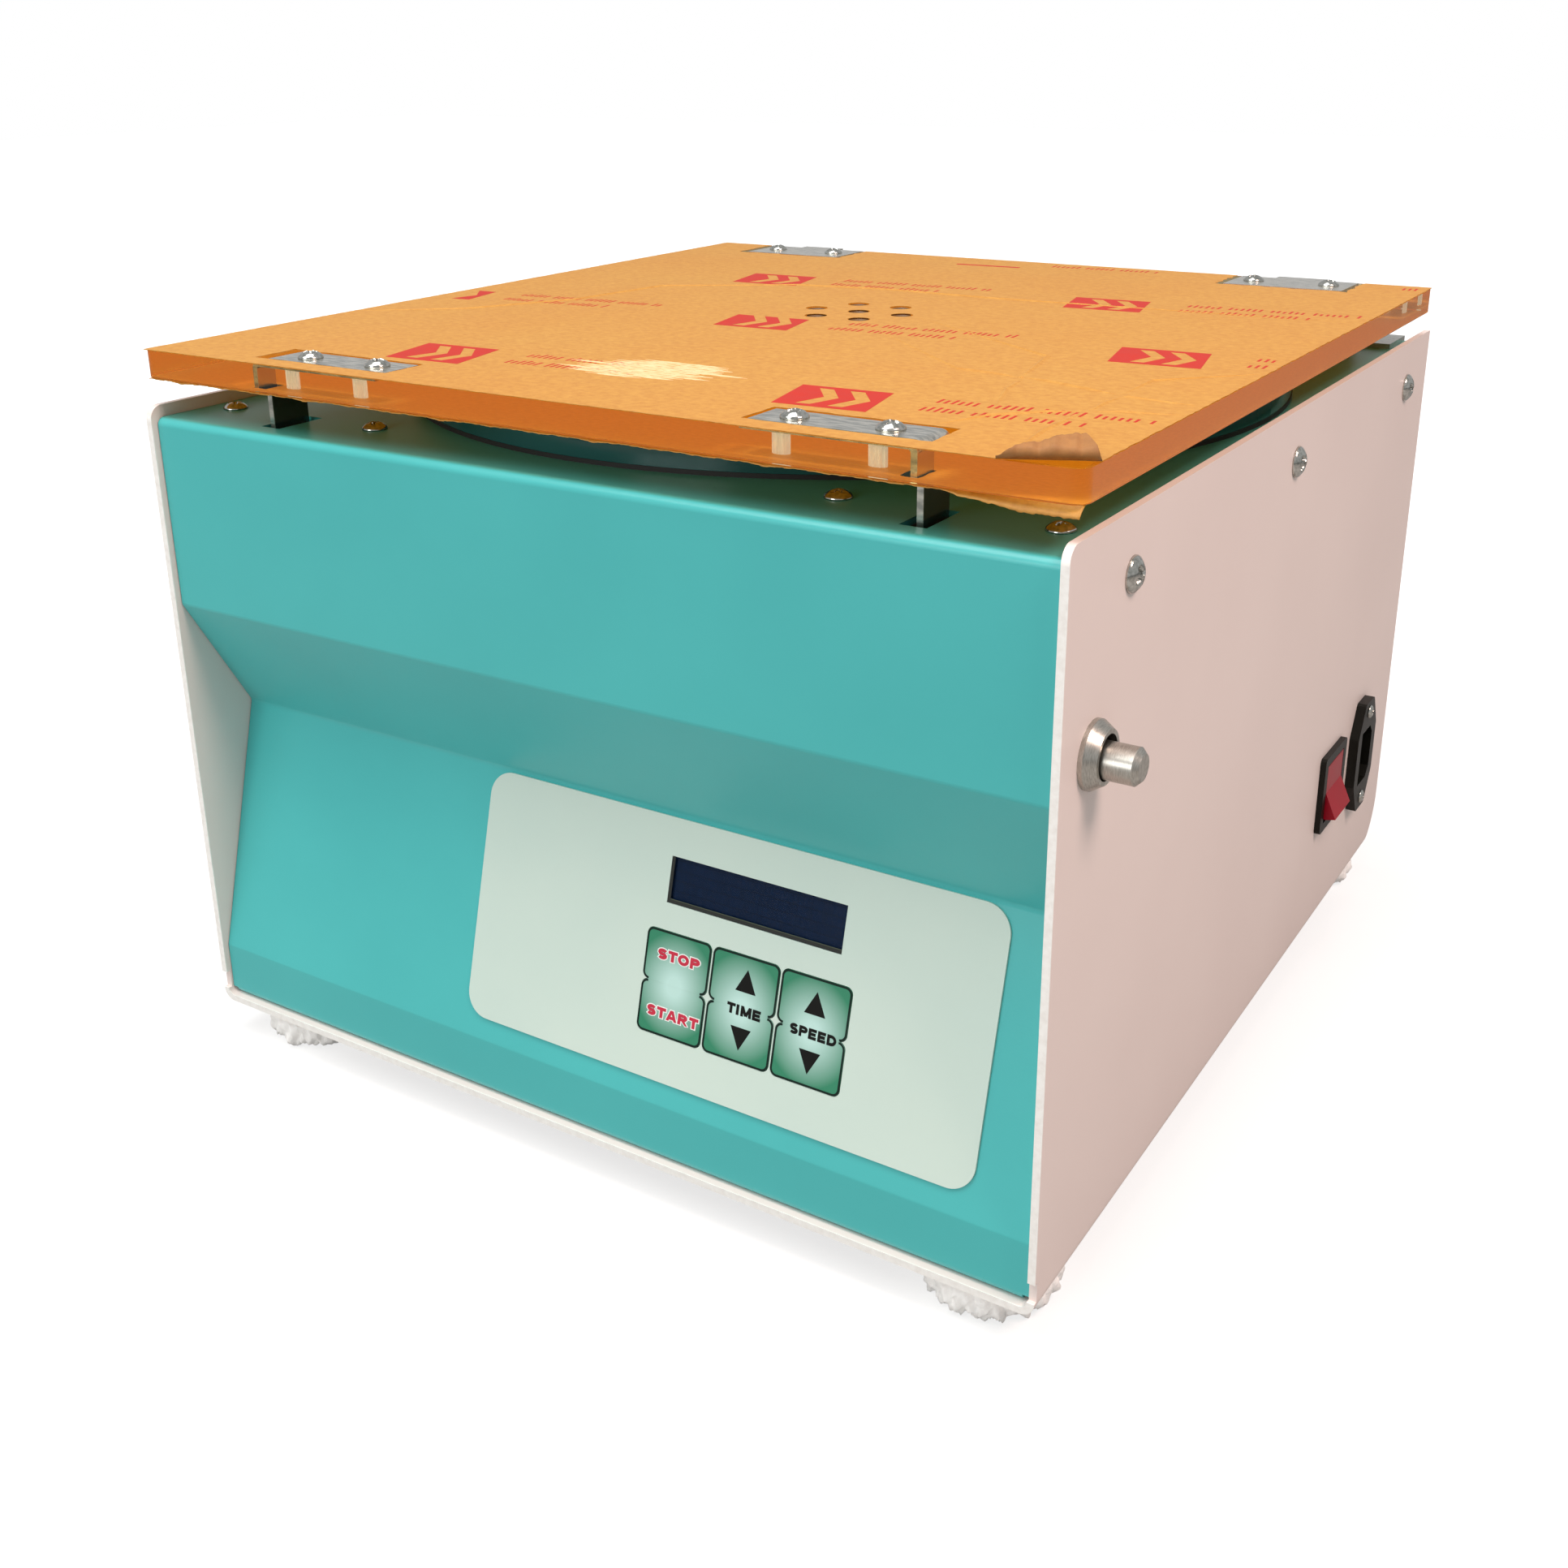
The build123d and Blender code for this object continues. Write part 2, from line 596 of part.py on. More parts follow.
def face_block(width, height, x, down, out_0, out_1, corner_r=None):
    """Rectangular block standing on the control face between two heights above it."""
    sketch = RectangleRounded(width, height, corner_r) if corner_r else Rectangle(width, height)
    return on_face(extrude(sketch, out_1 - out_0), x, down, out_0)


def key_places():
    """(name, x, down) of the six keys: three columns of two."""
    names = [("key_stop", "key_start"), ("key_time_up", "key_time_down"), ("key_speed_up", "key_speed_down")]
    places = []
    for column, pair in enumerate(names):
        x = WINDOW_X + (column - (KEY_COLUMNS - 1) / 2) * KEY_COLUMN_PITCH
        for row, name in enumerate(pair):
            places.append((name, x, KEY_DOWN + (row - 0.5) * KEY_ROW_PITCH))
    return places


KEYS_W = (KEY_COLUMNS - 1) * KEY_COLUMN_PITCH + KEY_W + 2 * KEY_CUTOUT_MARGIN
KEYS_H = KEY_ROW_PITCH + KEY_H + 2 * KEY_CUTOUT_MARGIN


def build_control_panel():
    """Overlay with its window, six keys, the domes behind them and the display module."""
    overlay_down = OVERLAY_TOP_GAP + OVERLAY_H / 2
    overlay = face_block(OVERLAY_W, OVERLAY_H, OVERLAY_X, overlay_down, 0, OVERLAY_T, OVERLAY_CORNER_R)
    overlay -= face_block(WINDOW_W + 2 * WINDOW_GAP, WINDOW_H + 2 * WINDOW_GAP, WINDOW_X, WINDOW_DOWN,
                          -PAST, OVERLAY_T + PAST)
    board_front = -DECK_T
    board = face_block(KEYS_W + KEY_BOARD_MARGIN, KEYS_H + KEY_BOARD_MARGIN, WINDOW_X, KEY_DOWN,
                       board_front - BOARD_T, board_front)
    dome_r = (DOME_R ** 2 + DOME_H ** 2) / (2 * DOME_H)
    dome = (Pos(0, 0, DOME_H - dome_r) * Sphere(dome_r)) & upright(DOME_R, -DOME_H / 10, DOME_H)
    for name, x, down in key_places():
        overlay -= face_block(KEY_W + 2 * KEY_GAP, KEY_H + 2 * KEY_GAP, x, down,
                              -PAST, OVERLAY_T + PAST, KEY_CORNER_R)
        lift = OVERLAY_T + KEY_PROUD - KEY_T
        parts[name] = face_block(KEY_W, KEY_H, x, down, lift, lift + KEY_T, KEY_CORNER_R)
        board += on_face(dome, x, down, board_front)
    parts["keypad_overlay"] = overlay
    parts["keypad_board"] = board
    parts["display_window"] = face_block(WINDOW_W, WINDOW_H, WINDOW_X, WINDOW_DOWN, 0, OVERLAY_T)
    back = -DECK_T - DISPLAY_DEPTH
    display = face_block(DISPLAY_BEZEL_W, DISPLAY_BEZEL_H, WINDOW_X, WINDOW_DOWN, back, -DISPLAY_FRONT_GAP)
    display += face_block(DISPLAY_BOARD_W, DISPLAY_BOARD_H, WINDOW_X, WINDOW_DOWN, back - BOARD_T, back)
    post = upright(DISPLAY_POST_R, 0, DISPLAY_DEPTH)
    for x in (-1, 1):
        for y in (-1, 1):
            px = WINDOW_X + x * (DISPLAY_BOARD_W / 2 - DISPLAY_POST_R)
            display += on_face(post, px, WINDOW_DOWN + y * (DISPLAY_BOARD_H / 2 - 2 * DISPLAY_POST_R), back)
    parts["display_module"] = display


# ---------------------------------------------------------------- deck and front
def floor_bend_relief():
    """Cutters that keep inner sheets clear of the shell's bends along the floor."""
    bend_inner_r = SHELL_BEND_R - SHELL_T
    corner = slab(WALL_INNER_X - bend_inner_r, HALF_W, -HALF_D, HALF_D, FLOOR_Z, FLOOR_TOP_Z + bend_inner_r)
    return corner + mirrored(corner)


def tongue_opening(z0):
    """Cutter for the right-hand slot that a latch tongue drops through, from z0 up past the deck."""
    return slab(DECK_SLOT_X - DECK_SLOT_W / 2, DECK_SLOT_X + DECK_SLOT_W / 2,
                LATCH_Y - DECK_SLOT_L / 2, LATCH_Y + DECK_SLOT_L / 2, z0 - PAST, DECK_Z + PAST)


def build_chassis():
    """Deck and folded front from one sheet, with side and rear flanges and every cut-out."""
    profile = [
        (DECK_REAR_Y, DECK_Z - DECK_FLANGE_H), (DECK_REAR_Y, DECK_Z), (FRONT_Y, DECK_Z),
        (FRONT_Y, DECK_Z - FRONT_FOLD_1_BELOW_DECK), (RECESS_Y, FOLD_2.Z), (FRONT_Y, FOLD_3.Z),
        (FRONT_Y, FLOOR_TOP_Z), (FRONT_Y + FRONT_FOOT_FLANGE, FLOOR_TOP_Z),
    ]
    chassis = extrude(Plane.YZ * bent_sheet(profile, DECK_BEND_R, DECK_T), DECK_HALF_W, both=True)
    flange_front_y = FRONT_Y + DECK_FLANGE_H
    flange = slab(DECK_HALF_W - DECK_T, DECK_HALF_W, flange_front_y, DECK_REAR_Y - DECK_BEND_R - DECK_T,
                  DECK_Z - DECK_FLANGE_H, DECK_UNDER_Z + DECK_T / 2)
    chassis += flange + mirrored(flange)
    chassis -= through(BOWL_OUTER_R + BOWL_DECK_GAP, DECK_UNDER_Z, DECK_Z)
    slot = tongue_opening(DECK_UNDER_Z)
    chassis -= slot + mirrored(slot)
    for side in (-1, 1):
        for x in (DECK_SCREW_INNER_X, DECK_SCREW_OUTER_X):
            chassis -= through(SMALL_SCREW_R + SCREW_FIT, DECK_UNDER_Z, DECK_Z, side * x, DECK_SCREW_Y)
        for x, y in hinge_foot_screws():
            chassis -= through(SMALL_SCREW_R + SCREW_FIT, DECK_UNDER_Z, DECK_Z, side * x, y)
    for y, z in side_screw_places():
        chassis -= along_x(SIDE_SCREW_R + SCREW_FIT, -HALF_W, HALF_W, y, z)
    chassis -= floor_bend_relief()
    chassis -= face_block(KEYS_W, KEYS_H, WINDOW_X, KEY_DOWN, -DECK_T - PAST, PAST)
    chassis -= face_block(DISPLAY_BEZEL_W + 2 * DISPLAY_CUTOUT_GAP, DISPLAY_BEZEL_H + 2 * DISPLAY_CUTOUT_GAP,
                          WINDOW_X, WINDOW_DOWN, -DECK_T - PAST, PAST)
    parts["chassis"] = chassis


def build_rear_panel():
    """Back cover: upright, then rolled under to the floor inside the walls' rounded corners."""
    y_out = HALF_D - REAR_INSET
    profile = [(y_out, DECK_Z - REAR_TOP_GAP), (y_out, FLOOR_TOP_Z),
               (y_out - WALL_REAR_LOW_R - REAR_FLOOR_FLANGE, FLOOR_TOP_Z)]
    section = bent_sheet(profile, WALL_REAR_LOW_R - SHELL_T, REAR_T, Side.RIGHT)
    panel = extrude(Plane.YZ * section, DECK_HALF_W, both=True) - floor_bend_relief()
    for side in (-1, 1):
        for row in range(REAR_VENT_ROWS):
            z = FOOT_H + REAR_VENT_H + (row - (REAR_VENT_ROWS - 1) / 2) * REAR_VENT_PITCH
            vent = Rot(90, 0, 0) * round_slot(REAR_VENT_L, REAR_VENT_W, 4 * REAR_T)
            panel -= Pos(side * (HALF_W - REAR_VENT_INSET), y_out, z) * vent
    parts["rear_panel"] = panel


# ---------------------------------------------------------------- bowl
def build_bowl():
    """Spun bowl hung from its rolled lip, the gasket under the lip, the seal on it and the floor seal."""
    lip_mid_r = (BOWL_INNER_R + BOWL_LIP_R) / 2
    lip_bend = (BOWL_LIP_R - BOWL_INNER_R) / 2
    lip_z = LIP_TOP_Z - lip_bend
    inner_bend = lip_bend - BOWL_T
    with BuildSketch(Plane.XZ) as section:
        with BuildLine():
            Line((SHAFT_SEAL_R, BOWL_UNDER_Z), (BOWL_INNER_R - BOWL_CORNER_R, BOWL_UNDER_Z))
            corner = (BOWL_INNER_R - BOWL_CORNER_R, BOWL_FLOOR_Z + BOWL_CORNER_R)
            CenterArc(corner, BOWL_CORNER_R + BOWL_T, -90, 90)
            Line((BOWL_OUTER_R, BOWL_FLOOR_Z + BOWL_CORNER_R), (BOWL_OUTER_R, lip_z))
            CenterArc((lip_mid_r, lip_z), inner_bend, 0, 180)
            Line((lip_mid_r + inner_bend, lip_z), (lip_mid_r + inner_bend, GASKET_TOP_Z))
            Line((lip_mid_r + inner_bend, GASKET_TOP_Z), (BOWL_LIP_R, GASKET_TOP_Z))
            Line((BOWL_LIP_R, GASKET_TOP_Z), (BOWL_LIP_R, lip_z))
            CenterArc((lip_mid_r, lip_z), lip_bend, 0, 180)
            Line((BOWL_INNER_R, lip_z), (BOWL_INNER_R, BOWL_FLOOR_Z + BOWL_CORNER_R))
            CenterArc(corner, BOWL_CORNER_R, -90, 90)
            Line((BOWL_INNER_R - BOWL_CORNER_R, BOWL_FLOOR_Z), (SHAFT_SEAL_R, BOWL_FLOOR_Z))
            Line((SHAFT_SEAL_R, BOWL_FLOOR_Z), (SHAFT_SEAL_R, BOWL_UNDER_Z))
        make_face()
    parts["bowl"] = revolve(section.sketch, Axis.Z)
    gasket_r = BOWL_LIP_R + SOFT_GAP
    parts["bowl_gasket"] = ring(gasket_r - BOWL_GASKET_W, gasket_r, DECK_Z, GASKET_TOP_Z)
    seal_top = LID_UNDER_Z - FILM_T - SEAL_GAP
    seal = ring(lip_mid_r - LID_SEAL_W / 2, lip_mid_r + LID_SEAL_W / 2, lip_z, seal_top)
    parts["lid_seal"] = seal - ring(lip_mid_r - lip_bend, lip_mid_r + lip_bend, lip_z - PAST, LIP_TOP_Z)
    bore_r = SHAFT_R + SHAFT_SEAL_T
    grommet = ring(bore_r, SHAFT_SEAL_R, BOWL_UNDER_Z, BOWL_FLOOR_Z)
    grommet += ring(bore_r, SHAFT_SEAL_R + SHAFT_SEAL_LIP, BOWL_FLOOR_Z, BOWL_FLOOR_Z + SHAFT_SEAL_T)
    grommet += ring(bore_r, SHAFT_SEAL_R + SHAFT_SEAL_LIP, BOWL_UNDER_Z - SHAFT_SEAL_T, BOWL_UNDER_Z)
    parts["shaft_seal"] = grommet


# ---------------------------------------------------------------- motor
def build_motor():
    """Flat motor on a plate that floats on four rubber isolators bolted through the floor."""
    body = upright(MOTOR_R, MOTOR_Z, MOTOR_TOP_Z) + upright(MOTOR_FLANGE_R, MOTOR_Z, MOTOR_Z + MOTOR_FLANGE_T)
    body = fillet(body.edges().filter_by(GeomType.CIRCLE).group_by(Axis.Z)[-1], MOTOR_SHOULDER_R)
    body += upright(MOTOR_BOSS_R, MOTOR_TOP_Z - PAST, MOTOR_TOP_Z + MOTOR_BOSS_H)
    groove = slab(MOTOR_R - MOTOR_FIN_DEPTH, MOTOR_R + PAST, -MOTOR_FIN_W / 2, MOTOR_FIN_W / 2,
                  MOTOR_Z + MOTOR_FIN_START, MOTOR_TOP_Z - MOTOR_SHOULDER_R)
    body -= PolarLocations(0, MOTOR_FIN_COUNT) * groove
    body -= upright(SHAFT_R + SHAFT_RUN, MOTOR_Z + MOTOR_FLANGE_T, MOTOR_TOP_Z + MOTOR_BOSS_H + PAST)
    bolt_places = PolarLocations(MOTOR_BOLT_CIRCLE_R, 4, start_angle=45).locations
    hole = through(MOTOR_BOLT_R + SCREW_FIT, MOTOR_PLATE_Z, MOTOR_Z + MOTOR_FLANGE_T)
    body -= [p * hole for p in bolt_places]
    parts["motor_body"] = body
    screw = Pos(0, 0, MOTOR_Z + MOTOR_FLANGE_T) * domed_screw(
        SMALL_SCREW_HEAD_R, SMALL_SCREW_HEAD_H, MOTOR_BOLT_R, MOTOR_FLANGE_T + MOTOR_PLATE_T)
    motor_bolts = [p * screw for p in bolt_places]

    plate = extrude(RectangleRounded(MOTOR_PLATE_SIDE, MOTOR_PLATE_SIDE, MOTOR_PLATE_CORNER_R), MOTOR_PLATE_T)
    plate = Pos(0, 0, MOTOR_PLATE_Z) * plate
    isolator_places = GridLocations(ISOLATOR_PITCH, ISOLATOR_PITCH, 2, 2).locations
    bolt_hole = through(ISOLATOR_BOLT_R + BOLT_FIT, FLOOR_Z, MOTOR_Z)
    plate -= [p * bolt_hole for p in isolator_places]
    plate -= [p * hole for p in bolt_places]
    parts["motor_plate"] = plate
    mid_z = (FLOOR_TOP_Z + MOTOR_PLATE_Z) / 2
    isolator = pin_profile([
        (ISOLATOR_BOLT_R + BOLT_FIT, FLOOR_TOP_Z), (ISOLATOR_R, FLOOR_TOP_Z), (ISOLATOR_WAIST_R, mid_z),
        (ISOLATOR_R, MOTOR_PLATE_Z), (ISOLATOR_BOLT_R + BOLT_FIT, MOTOR_PLATE_Z)])
    parts["motor_isolators"] = each([p * isolator for p in isolator_places])
    nut = Pos(0, 0, MOTOR_Z) * extrude(RegularPolygon(2 * ISOLATOR_BOLT_R, 6), ISOLATOR_NUT_H)
    bolt_top = MOTOR_Z + ISOLATOR_NUT_H + ISOLATOR_THREAD_END
    bolt = upright(ISOLATOR_BOLT_R, FLOOR_Z - ISOLATOR_BOLT_HEAD_H / 2, bolt_top)
    bolt += upright(ISOLATOR_BOLT_HEAD_R, FLOOR_Z - ISOLATOR_BOLT_HEAD_H, FLOOR_Z) + nut
    parts["motor_bolts"] = each(motor_bolts + [p * bolt for p in isolator_places])


# ---------------------------------------------------------------- rotor
MOUTH = Vector(SLEEVE_MOUTH_R, 0, MOUTH_Z)
OUTWARD = Vector(sin(TILT), 0, -cos(TILT))
SLEEVE_PLANE = Plane(origin=MOUTH, x_dir=(0, 1, 0), z_dir=OUTWARD * -1)
HUB_TOP_Z = MOUTH_Z - (SLEEVE_MOUTH_R - HUB_R) * tan(TILT)


def inclined(radius, depth_0, depth_1):
    """Cylinder on the first sleeve's axis, between two depths below its mouth."""
    return SLEEVE_PLANE * upright(radius, -depth_1, -depth_0)


def build_rotor():
    """Dished head and flat plate on one hub, carrying eight inclined sleeves, on the motor's shaft."""
    turns = PolarLocations(0, SLEEVE_COUNT).locations
    across = Vector(cos(TILT), 0, sin(TILT))
    seat = MOUTH + OUTWARD * SLEEVE_LIP_T
    corners = [seat - across * HEAD_INNER_RUN, seat + across * HEAD_OUTER_RUN]
    corners += [corners[1] + OUTWARD * HEAD_T, corners[0] + OUTWARD * HEAD_T]
    head = pin_profile([(c.X, c.Z) for c in corners])
    head_bottom_z = corners[3].Z
    hub_seat_r = HUB_R + SLEEVE_FIT
    head += ring(hub_seat_r, corners[0].X + HEAD_T / 2, head_bottom_z - HEAD_T / 2, head_bottom_z + HEAD_T)
    head -= upright(hub_seat_r, head_bottom_z - HEAD_T, MOUTH_Z)
    lip_room = inclined(SLEEVE_LIP_R + SLEEVE_FIT, -HEAD_T, SLEEVE_LIP_T)
    bore = inclined(SLEEVE_R + SLEEVE_FIT, -HEAD_T, SLEEVE_L + HEAD_T)
    head -= [t * lip_room for t in turns]
    head -= [t * bore for t in turns]
    parts["rotor_head"] = head

    plate = upright(PLATE_R, PLATE_Z, PLATE_Z + PLATE_T)
    plate -= through(HUB_R + SLEEVE_FIT, PLATE_Z, PLATE_Z + PLATE_T)
    plate -= [t * bore for t in turns]
    lightening = through(PLATE_LIGHTENING_R, PLATE_Z, PLATE_Z + PLATE_T)
    half_turn = 180 / SLEEVE_COUNT
    plate -= PolarLocations(PLATE_LIGHTENING_CIRCLE_R, SLEEVE_COUNT // 2, start_angle=half_turn) * lightening
    parts["rotor_plate"] = plate

    hub = upright(HUB_R, PLATE_Z - HUB_FLANGE_T, HUB_TOP_Z + HUB_NOSE)
    hub += upright(HUB_FLANGE_R, PLATE_Z - HUB_FLANGE_T, PLATE_Z)
    hub -= upright(SHAFT_R + SHAFT_FIT, PLATE_Z - HUB_FLANGE_T - PAST, HUB_TOP_Z + HUB_NOSE + PAST)
    parts["rotor_hub"] = hub

    sleeve = inclined(SLEEVE_R, 0, SLEEVE_L) + inclined(SLEEVE_LIP_R, 0, SLEEVE_LIP_T)
    sleeve -= inclined(SLEEVE_BORE_R, -PAST, SLEEVE_L - SLEEVE_FLOOR_T)
    for i, turn in enumerate(turns):
        parts[f"sleeve_{i + 1}"] = turn * sleeve

    hub_top = HUB_TOP_Z + HUB_NOSE
    socket_z = hub_top + NUT_H - NUT_SOCKET_DEPTH
    nut = Pos(0, 0, hub_top) * extrude(RegularPolygon(NUT_R, 6), NUT_H)
    nut += upright(NUT_FLANGE_R, hub_top, hub_top + NUT_FLANGE_T)
    nut -= upright(SHAFT_R + SHAFT_FIT, hub_top - PAST, socket_z - NUT_SOCKET_DEPTH / 2)
    nut -= Pos(0, 0, socket_z) * extrude(RegularPolygon(NUT_SOCKET_R, 6), NUT_SOCKET_DEPTH + PAST)
    parts["rotor_nut"] = nut
    collar_top = PLATE_Z - HUB_FLANGE_T
    shaft = upright(SHAFT_R, MOTOR_Z + MOTOR_FLANGE_T + SHAFT_RUN, socket_z - SHAFT_TOP_GAP)
    shaft += upright(SHAFT_COLLAR_R, collar_top - SHAFT_COLLAR_H, collar_top)
    parts["motor_shaft"] = shaft


# ---------------------------------------------------------------- lid
def build_lid():
    """Acrylic sheet with pockets, slots and vents, its masking films, latch brackets and screws."""
    sheet = extrude(RectangleRounded(LID_W, LID_DEPTH, LID_CORNER_R), LID_T)
    sheet = Pos(0, LID_MID_Y, LID_UNDER_Z) * sheet
    film = RectangleRounded(LID_W - 2 * FILM_MARGIN, LID_DEPTH - 2 * FILM_MARGIN, LID_CORNER_R)
    film = extrude(film, FILM_T)
    top_film = Pos(0, LID_MID_Y, LID_TOP_Z) * film
    bottom_film = Pos(0, LID_MID_Y, LID_UNDER_Z - FILM_T) * film

    pocket_z = LID_TOP_Z - LATCH_T
    half_pocket = LATCH_W / 2 + POCKET_GAP
    latch_pocket = slab(LATCH_INNER_X - POCKET_GAP, TONGUE_FAR_X + LATCH_T,
                        LATCH_Y - half_pocket, LATCH_Y + half_pocket, pocket_z, LID_TOP_Z + PAST)
    tongue_slot = slab(TONGUE_FAR_X - LATCH_T - LATCH_BEND_R, TONGUE_FAR_X + POCKET_GAP,
                       LATCH_Y - half_pocket, LATCH_Y + half_pocket, LID_UNDER_Z - PAST, LID_TOP_Z + PAST)
    hinge_front_y = LEAF_REAR_Y - HINGE_LEAF_DEPTH
    hinge_pocket = slab(HINGE_X - HINGE_W / 2 - POCKET_GAP, HINGE_X + HINGE_W / 2 + POCKET_GAP,
                        hinge_front_y - POCKET_GAP, LEAF_REAR_Y, LID_TOP_Z - HINGE_LEAF_T, LID_TOP_Z + PAST)
    vents = [Pos(0, VENT_Y, 0)]
    vents += [vents[0] * p for p in PolarLocations(VENT_CIRCLE_R, VENT_COUNT).locations]
    vent = through(VENT_R, LID_UNDER_Z, LID_TOP_Z)
    for cutter in (latch_pocket, tongue_slot, hinge_pocket):
        sheet -= cutter + mirrored(cutter)
        top_film -= cutter + mirrored(cutter)
    bottom_film -= tongue_slot + mirrored(tongue_slot)
    for place in vents:
        sheet -= place * vent
        top_film -= place * vent
        bottom_film -= place * vent
    screw = small_screw(LID_TOP_Z)
    hole = upright(SMALL_SCREW_R + SCREW_FIT, LID_TOP_Z - SMALL_SCREW_L - SCREW_TIP_GAP, LID_TOP_Z + PAST)
    screws = []
    for side in (-1, 1):
        for x, y in lid_screw_places():
            sheet -= Pos(side * x, y, 0) * hole
            screws.append(Pos(side * x, y, 0) * screw)
    parts["lid_sheet"] = sheet
    parts["lid_top_film"] = top_film
    parts["lid_bottom_film"] = bottom_film
    parts["lid_screws"] = each(screws)

    strap = bent_sheet([(LATCH_INNER_X, LID_TOP_Z), (TONGUE_FAR_X, LID_TOP_Z), (TONGUE_FAR_X, TONGUE_TIP_Z)],
                       LATCH_BEND_R, LATCH_T, Side.RIGHT)
    bracket = Pos(0, LATCH_Y, 0) * extrude(Plane.XZ * strap, LATCH_W / 2, both=True)
    rear_y = LATCH_Y + LATCH_W / 2
    bracket -= slab(TONGUE_FAR_X - 2 * LATCH_T, TONGUE_FAR_X + PAST, rear_y - TONGUE_NOTCH_D, rear_y + PAST,
                    NOTCH_LOW_Z, NOTCH_LOW_Z + TONGUE_NOTCH_H)
    front_y = LATCH_Y - LATCH_W / 2
    low_z = TONGUE_TIP_Z - PAST
    taper = make_face(Polyline(
        (front_y - PAST, low_z), (front_y + TONGUE_TAPER, low_z), (front_y + TONGUE_TAPER, TONGUE_TIP_Z),
        (front_y, DECK_Z), (front_y - PAST, DECK_Z), close=True))
    bracket -= extrude(Plane.YZ * taper, 2 * HALF_W, both=True)
    for x in (LATCH_SCREW_INNER_X, LATCH_SCREW_OUTER_X):
        bracket -= Pos(x, LATCH_Y, 0) * hole
    parts["latch_bracket_right"] = bracket
    parts["latch_bracket_left"] = mirrored(bracket)


def lid_screw_places():
    """(x, y) of the right-hand screws in the lid: two in the latch bracket, two in the hinge leaf."""
    latch = [(x, LATCH_Y) for x in (LATCH_SCREW_INNER_X, LATCH_SCREW_OUTER_X)]
    y = LEAF_REAR_Y - HINGE_LEAF_DEPTH / 2
    inset = HINGE_W / 2 - HINGE_SCREW_INSET
    return latch + [(HINGE_X - inset, y), (HINGE_X + inset, y)]


# ---------------------------------------------------------------- hinges
def hinge_foot_screws():
    """(x, y) of the right-hand screws through the hinge foot."""
    inset = HINGE_W / 2 - HINGE_SCREW_INSET
    y = HINGE_Y - HINGE_FOOT_DEPTH / 2
    return [(HINGE_X - inset, y), (HINGE_X + HINGE_FOOT_EXTRA, y)]


def build_hinges():
    """Leaf let into the lid, angle bracket on the deck and a pin through three knuckles, on each side."""
    x0 = HINGE_X - HINGE_W / 2
    x1 = HINGE_X + HINGE_W / 2
    leaf_front_y = LEAF_REAR_Y - HINGE_LEAF_DEPTH
    leaf_z = LID_TOP_Z - HINGE_LEAF_T
    mid_x0 = x0 + KNUCKLE_W + KNUCKLE_GAP
    mid_x1 = x1 - KNUCKLE_W - KNUCKLE_GAP
    leaf = slab(x0, x1, leaf_front_y, LEAF_REAR_Y, leaf_z, LID_TOP_Z)
    leaf += slab(mid_x0, mid_x1, LID_REAR_Y, HINGE_Y, leaf_z, LID_TOP_Z)
    leaf += slab(mid_x0, mid_x1, HINGE_Y - HINGE_LEAF_T / 2, HINGE_Y, HINGE_Z, LID_TOP_Z)
    leaf += along_x(BARREL_R, mid_x0, mid_x1, HINGE_Y, HINGE_Z)
    leaf -= along_x(HINGE_PIN_R + HINGE_PIN_RUN, x0 - PAST, x1 + PAST, HINGE_Y, HINGE_Z)
    hole = through(SMALL_SCREW_R + SCREW_FIT, leaf_z, LID_TOP_Z)
    for x, y in lid_screw_places():
        leaf -= Pos(x, y, 0) * hole
    parts["hinge_leaf_right"] = leaf
    parts["hinge_leaf_left"] = mirrored(leaf)

    foot_x1 = x1 + HINGE_FOOT_EXTRA
    upright_y0 = HINGE_Y - HINGE_LEAF_T / 2
    upright_y1 = HINGE_Y + HINGE_LEAF_T / 2
    base = slab(x0, foot_x1, HINGE_Y - HINGE_FOOT_DEPTH, upright_y1, DECK_Z, DECK_Z + HINGE_LEAF_T)
    base += slab(x0, x1, upright_y0, upright_y1, DECK_Z, HINGE_Z)
    base -= slab(mid_x0 - KNUCKLE_GAP, mid_x1 + KNUCKLE_GAP, upright_y0 - PAST, upright_y1 + PAST,
                 HINGE_Z - BARREL_R - KNUCKLE_GAP, HINGE_Z + PAST)
    for start in (x0, x1 - KNUCKLE_W):
        base += along_x(BARREL_R, start, start + KNUCKLE_W, HINGE_Y, HINGE_Z)
    base -= along_x(HINGE_PIN_R, x0 - PAST, x1 + PAST, HINGE_Y, HINGE_Z)
    screw = small_screw(DECK_Z + HINGE_LEAF_T)
    screws = []
    for x, y in hinge_foot_screws():
        base -= through(SMALL_SCREW_R + SCREW_FIT, DECK_Z, DECK_Z + HINGE_LEAF_T, x, y)
        screws += [Pos(x, y, 0) * screw, Pos(-x, y, 0) * screw]
    parts["hinge_base_right"] = base
    parts["hinge_base_left"] = mirrored(base)
    small_screws.extend(screws)
    pin = along_x(HINGE_PIN_R, x0, x1, HINGE_Y, HINGE_Z)
    parts["hinge_pins"] = each([pin, mirrored(pin)])


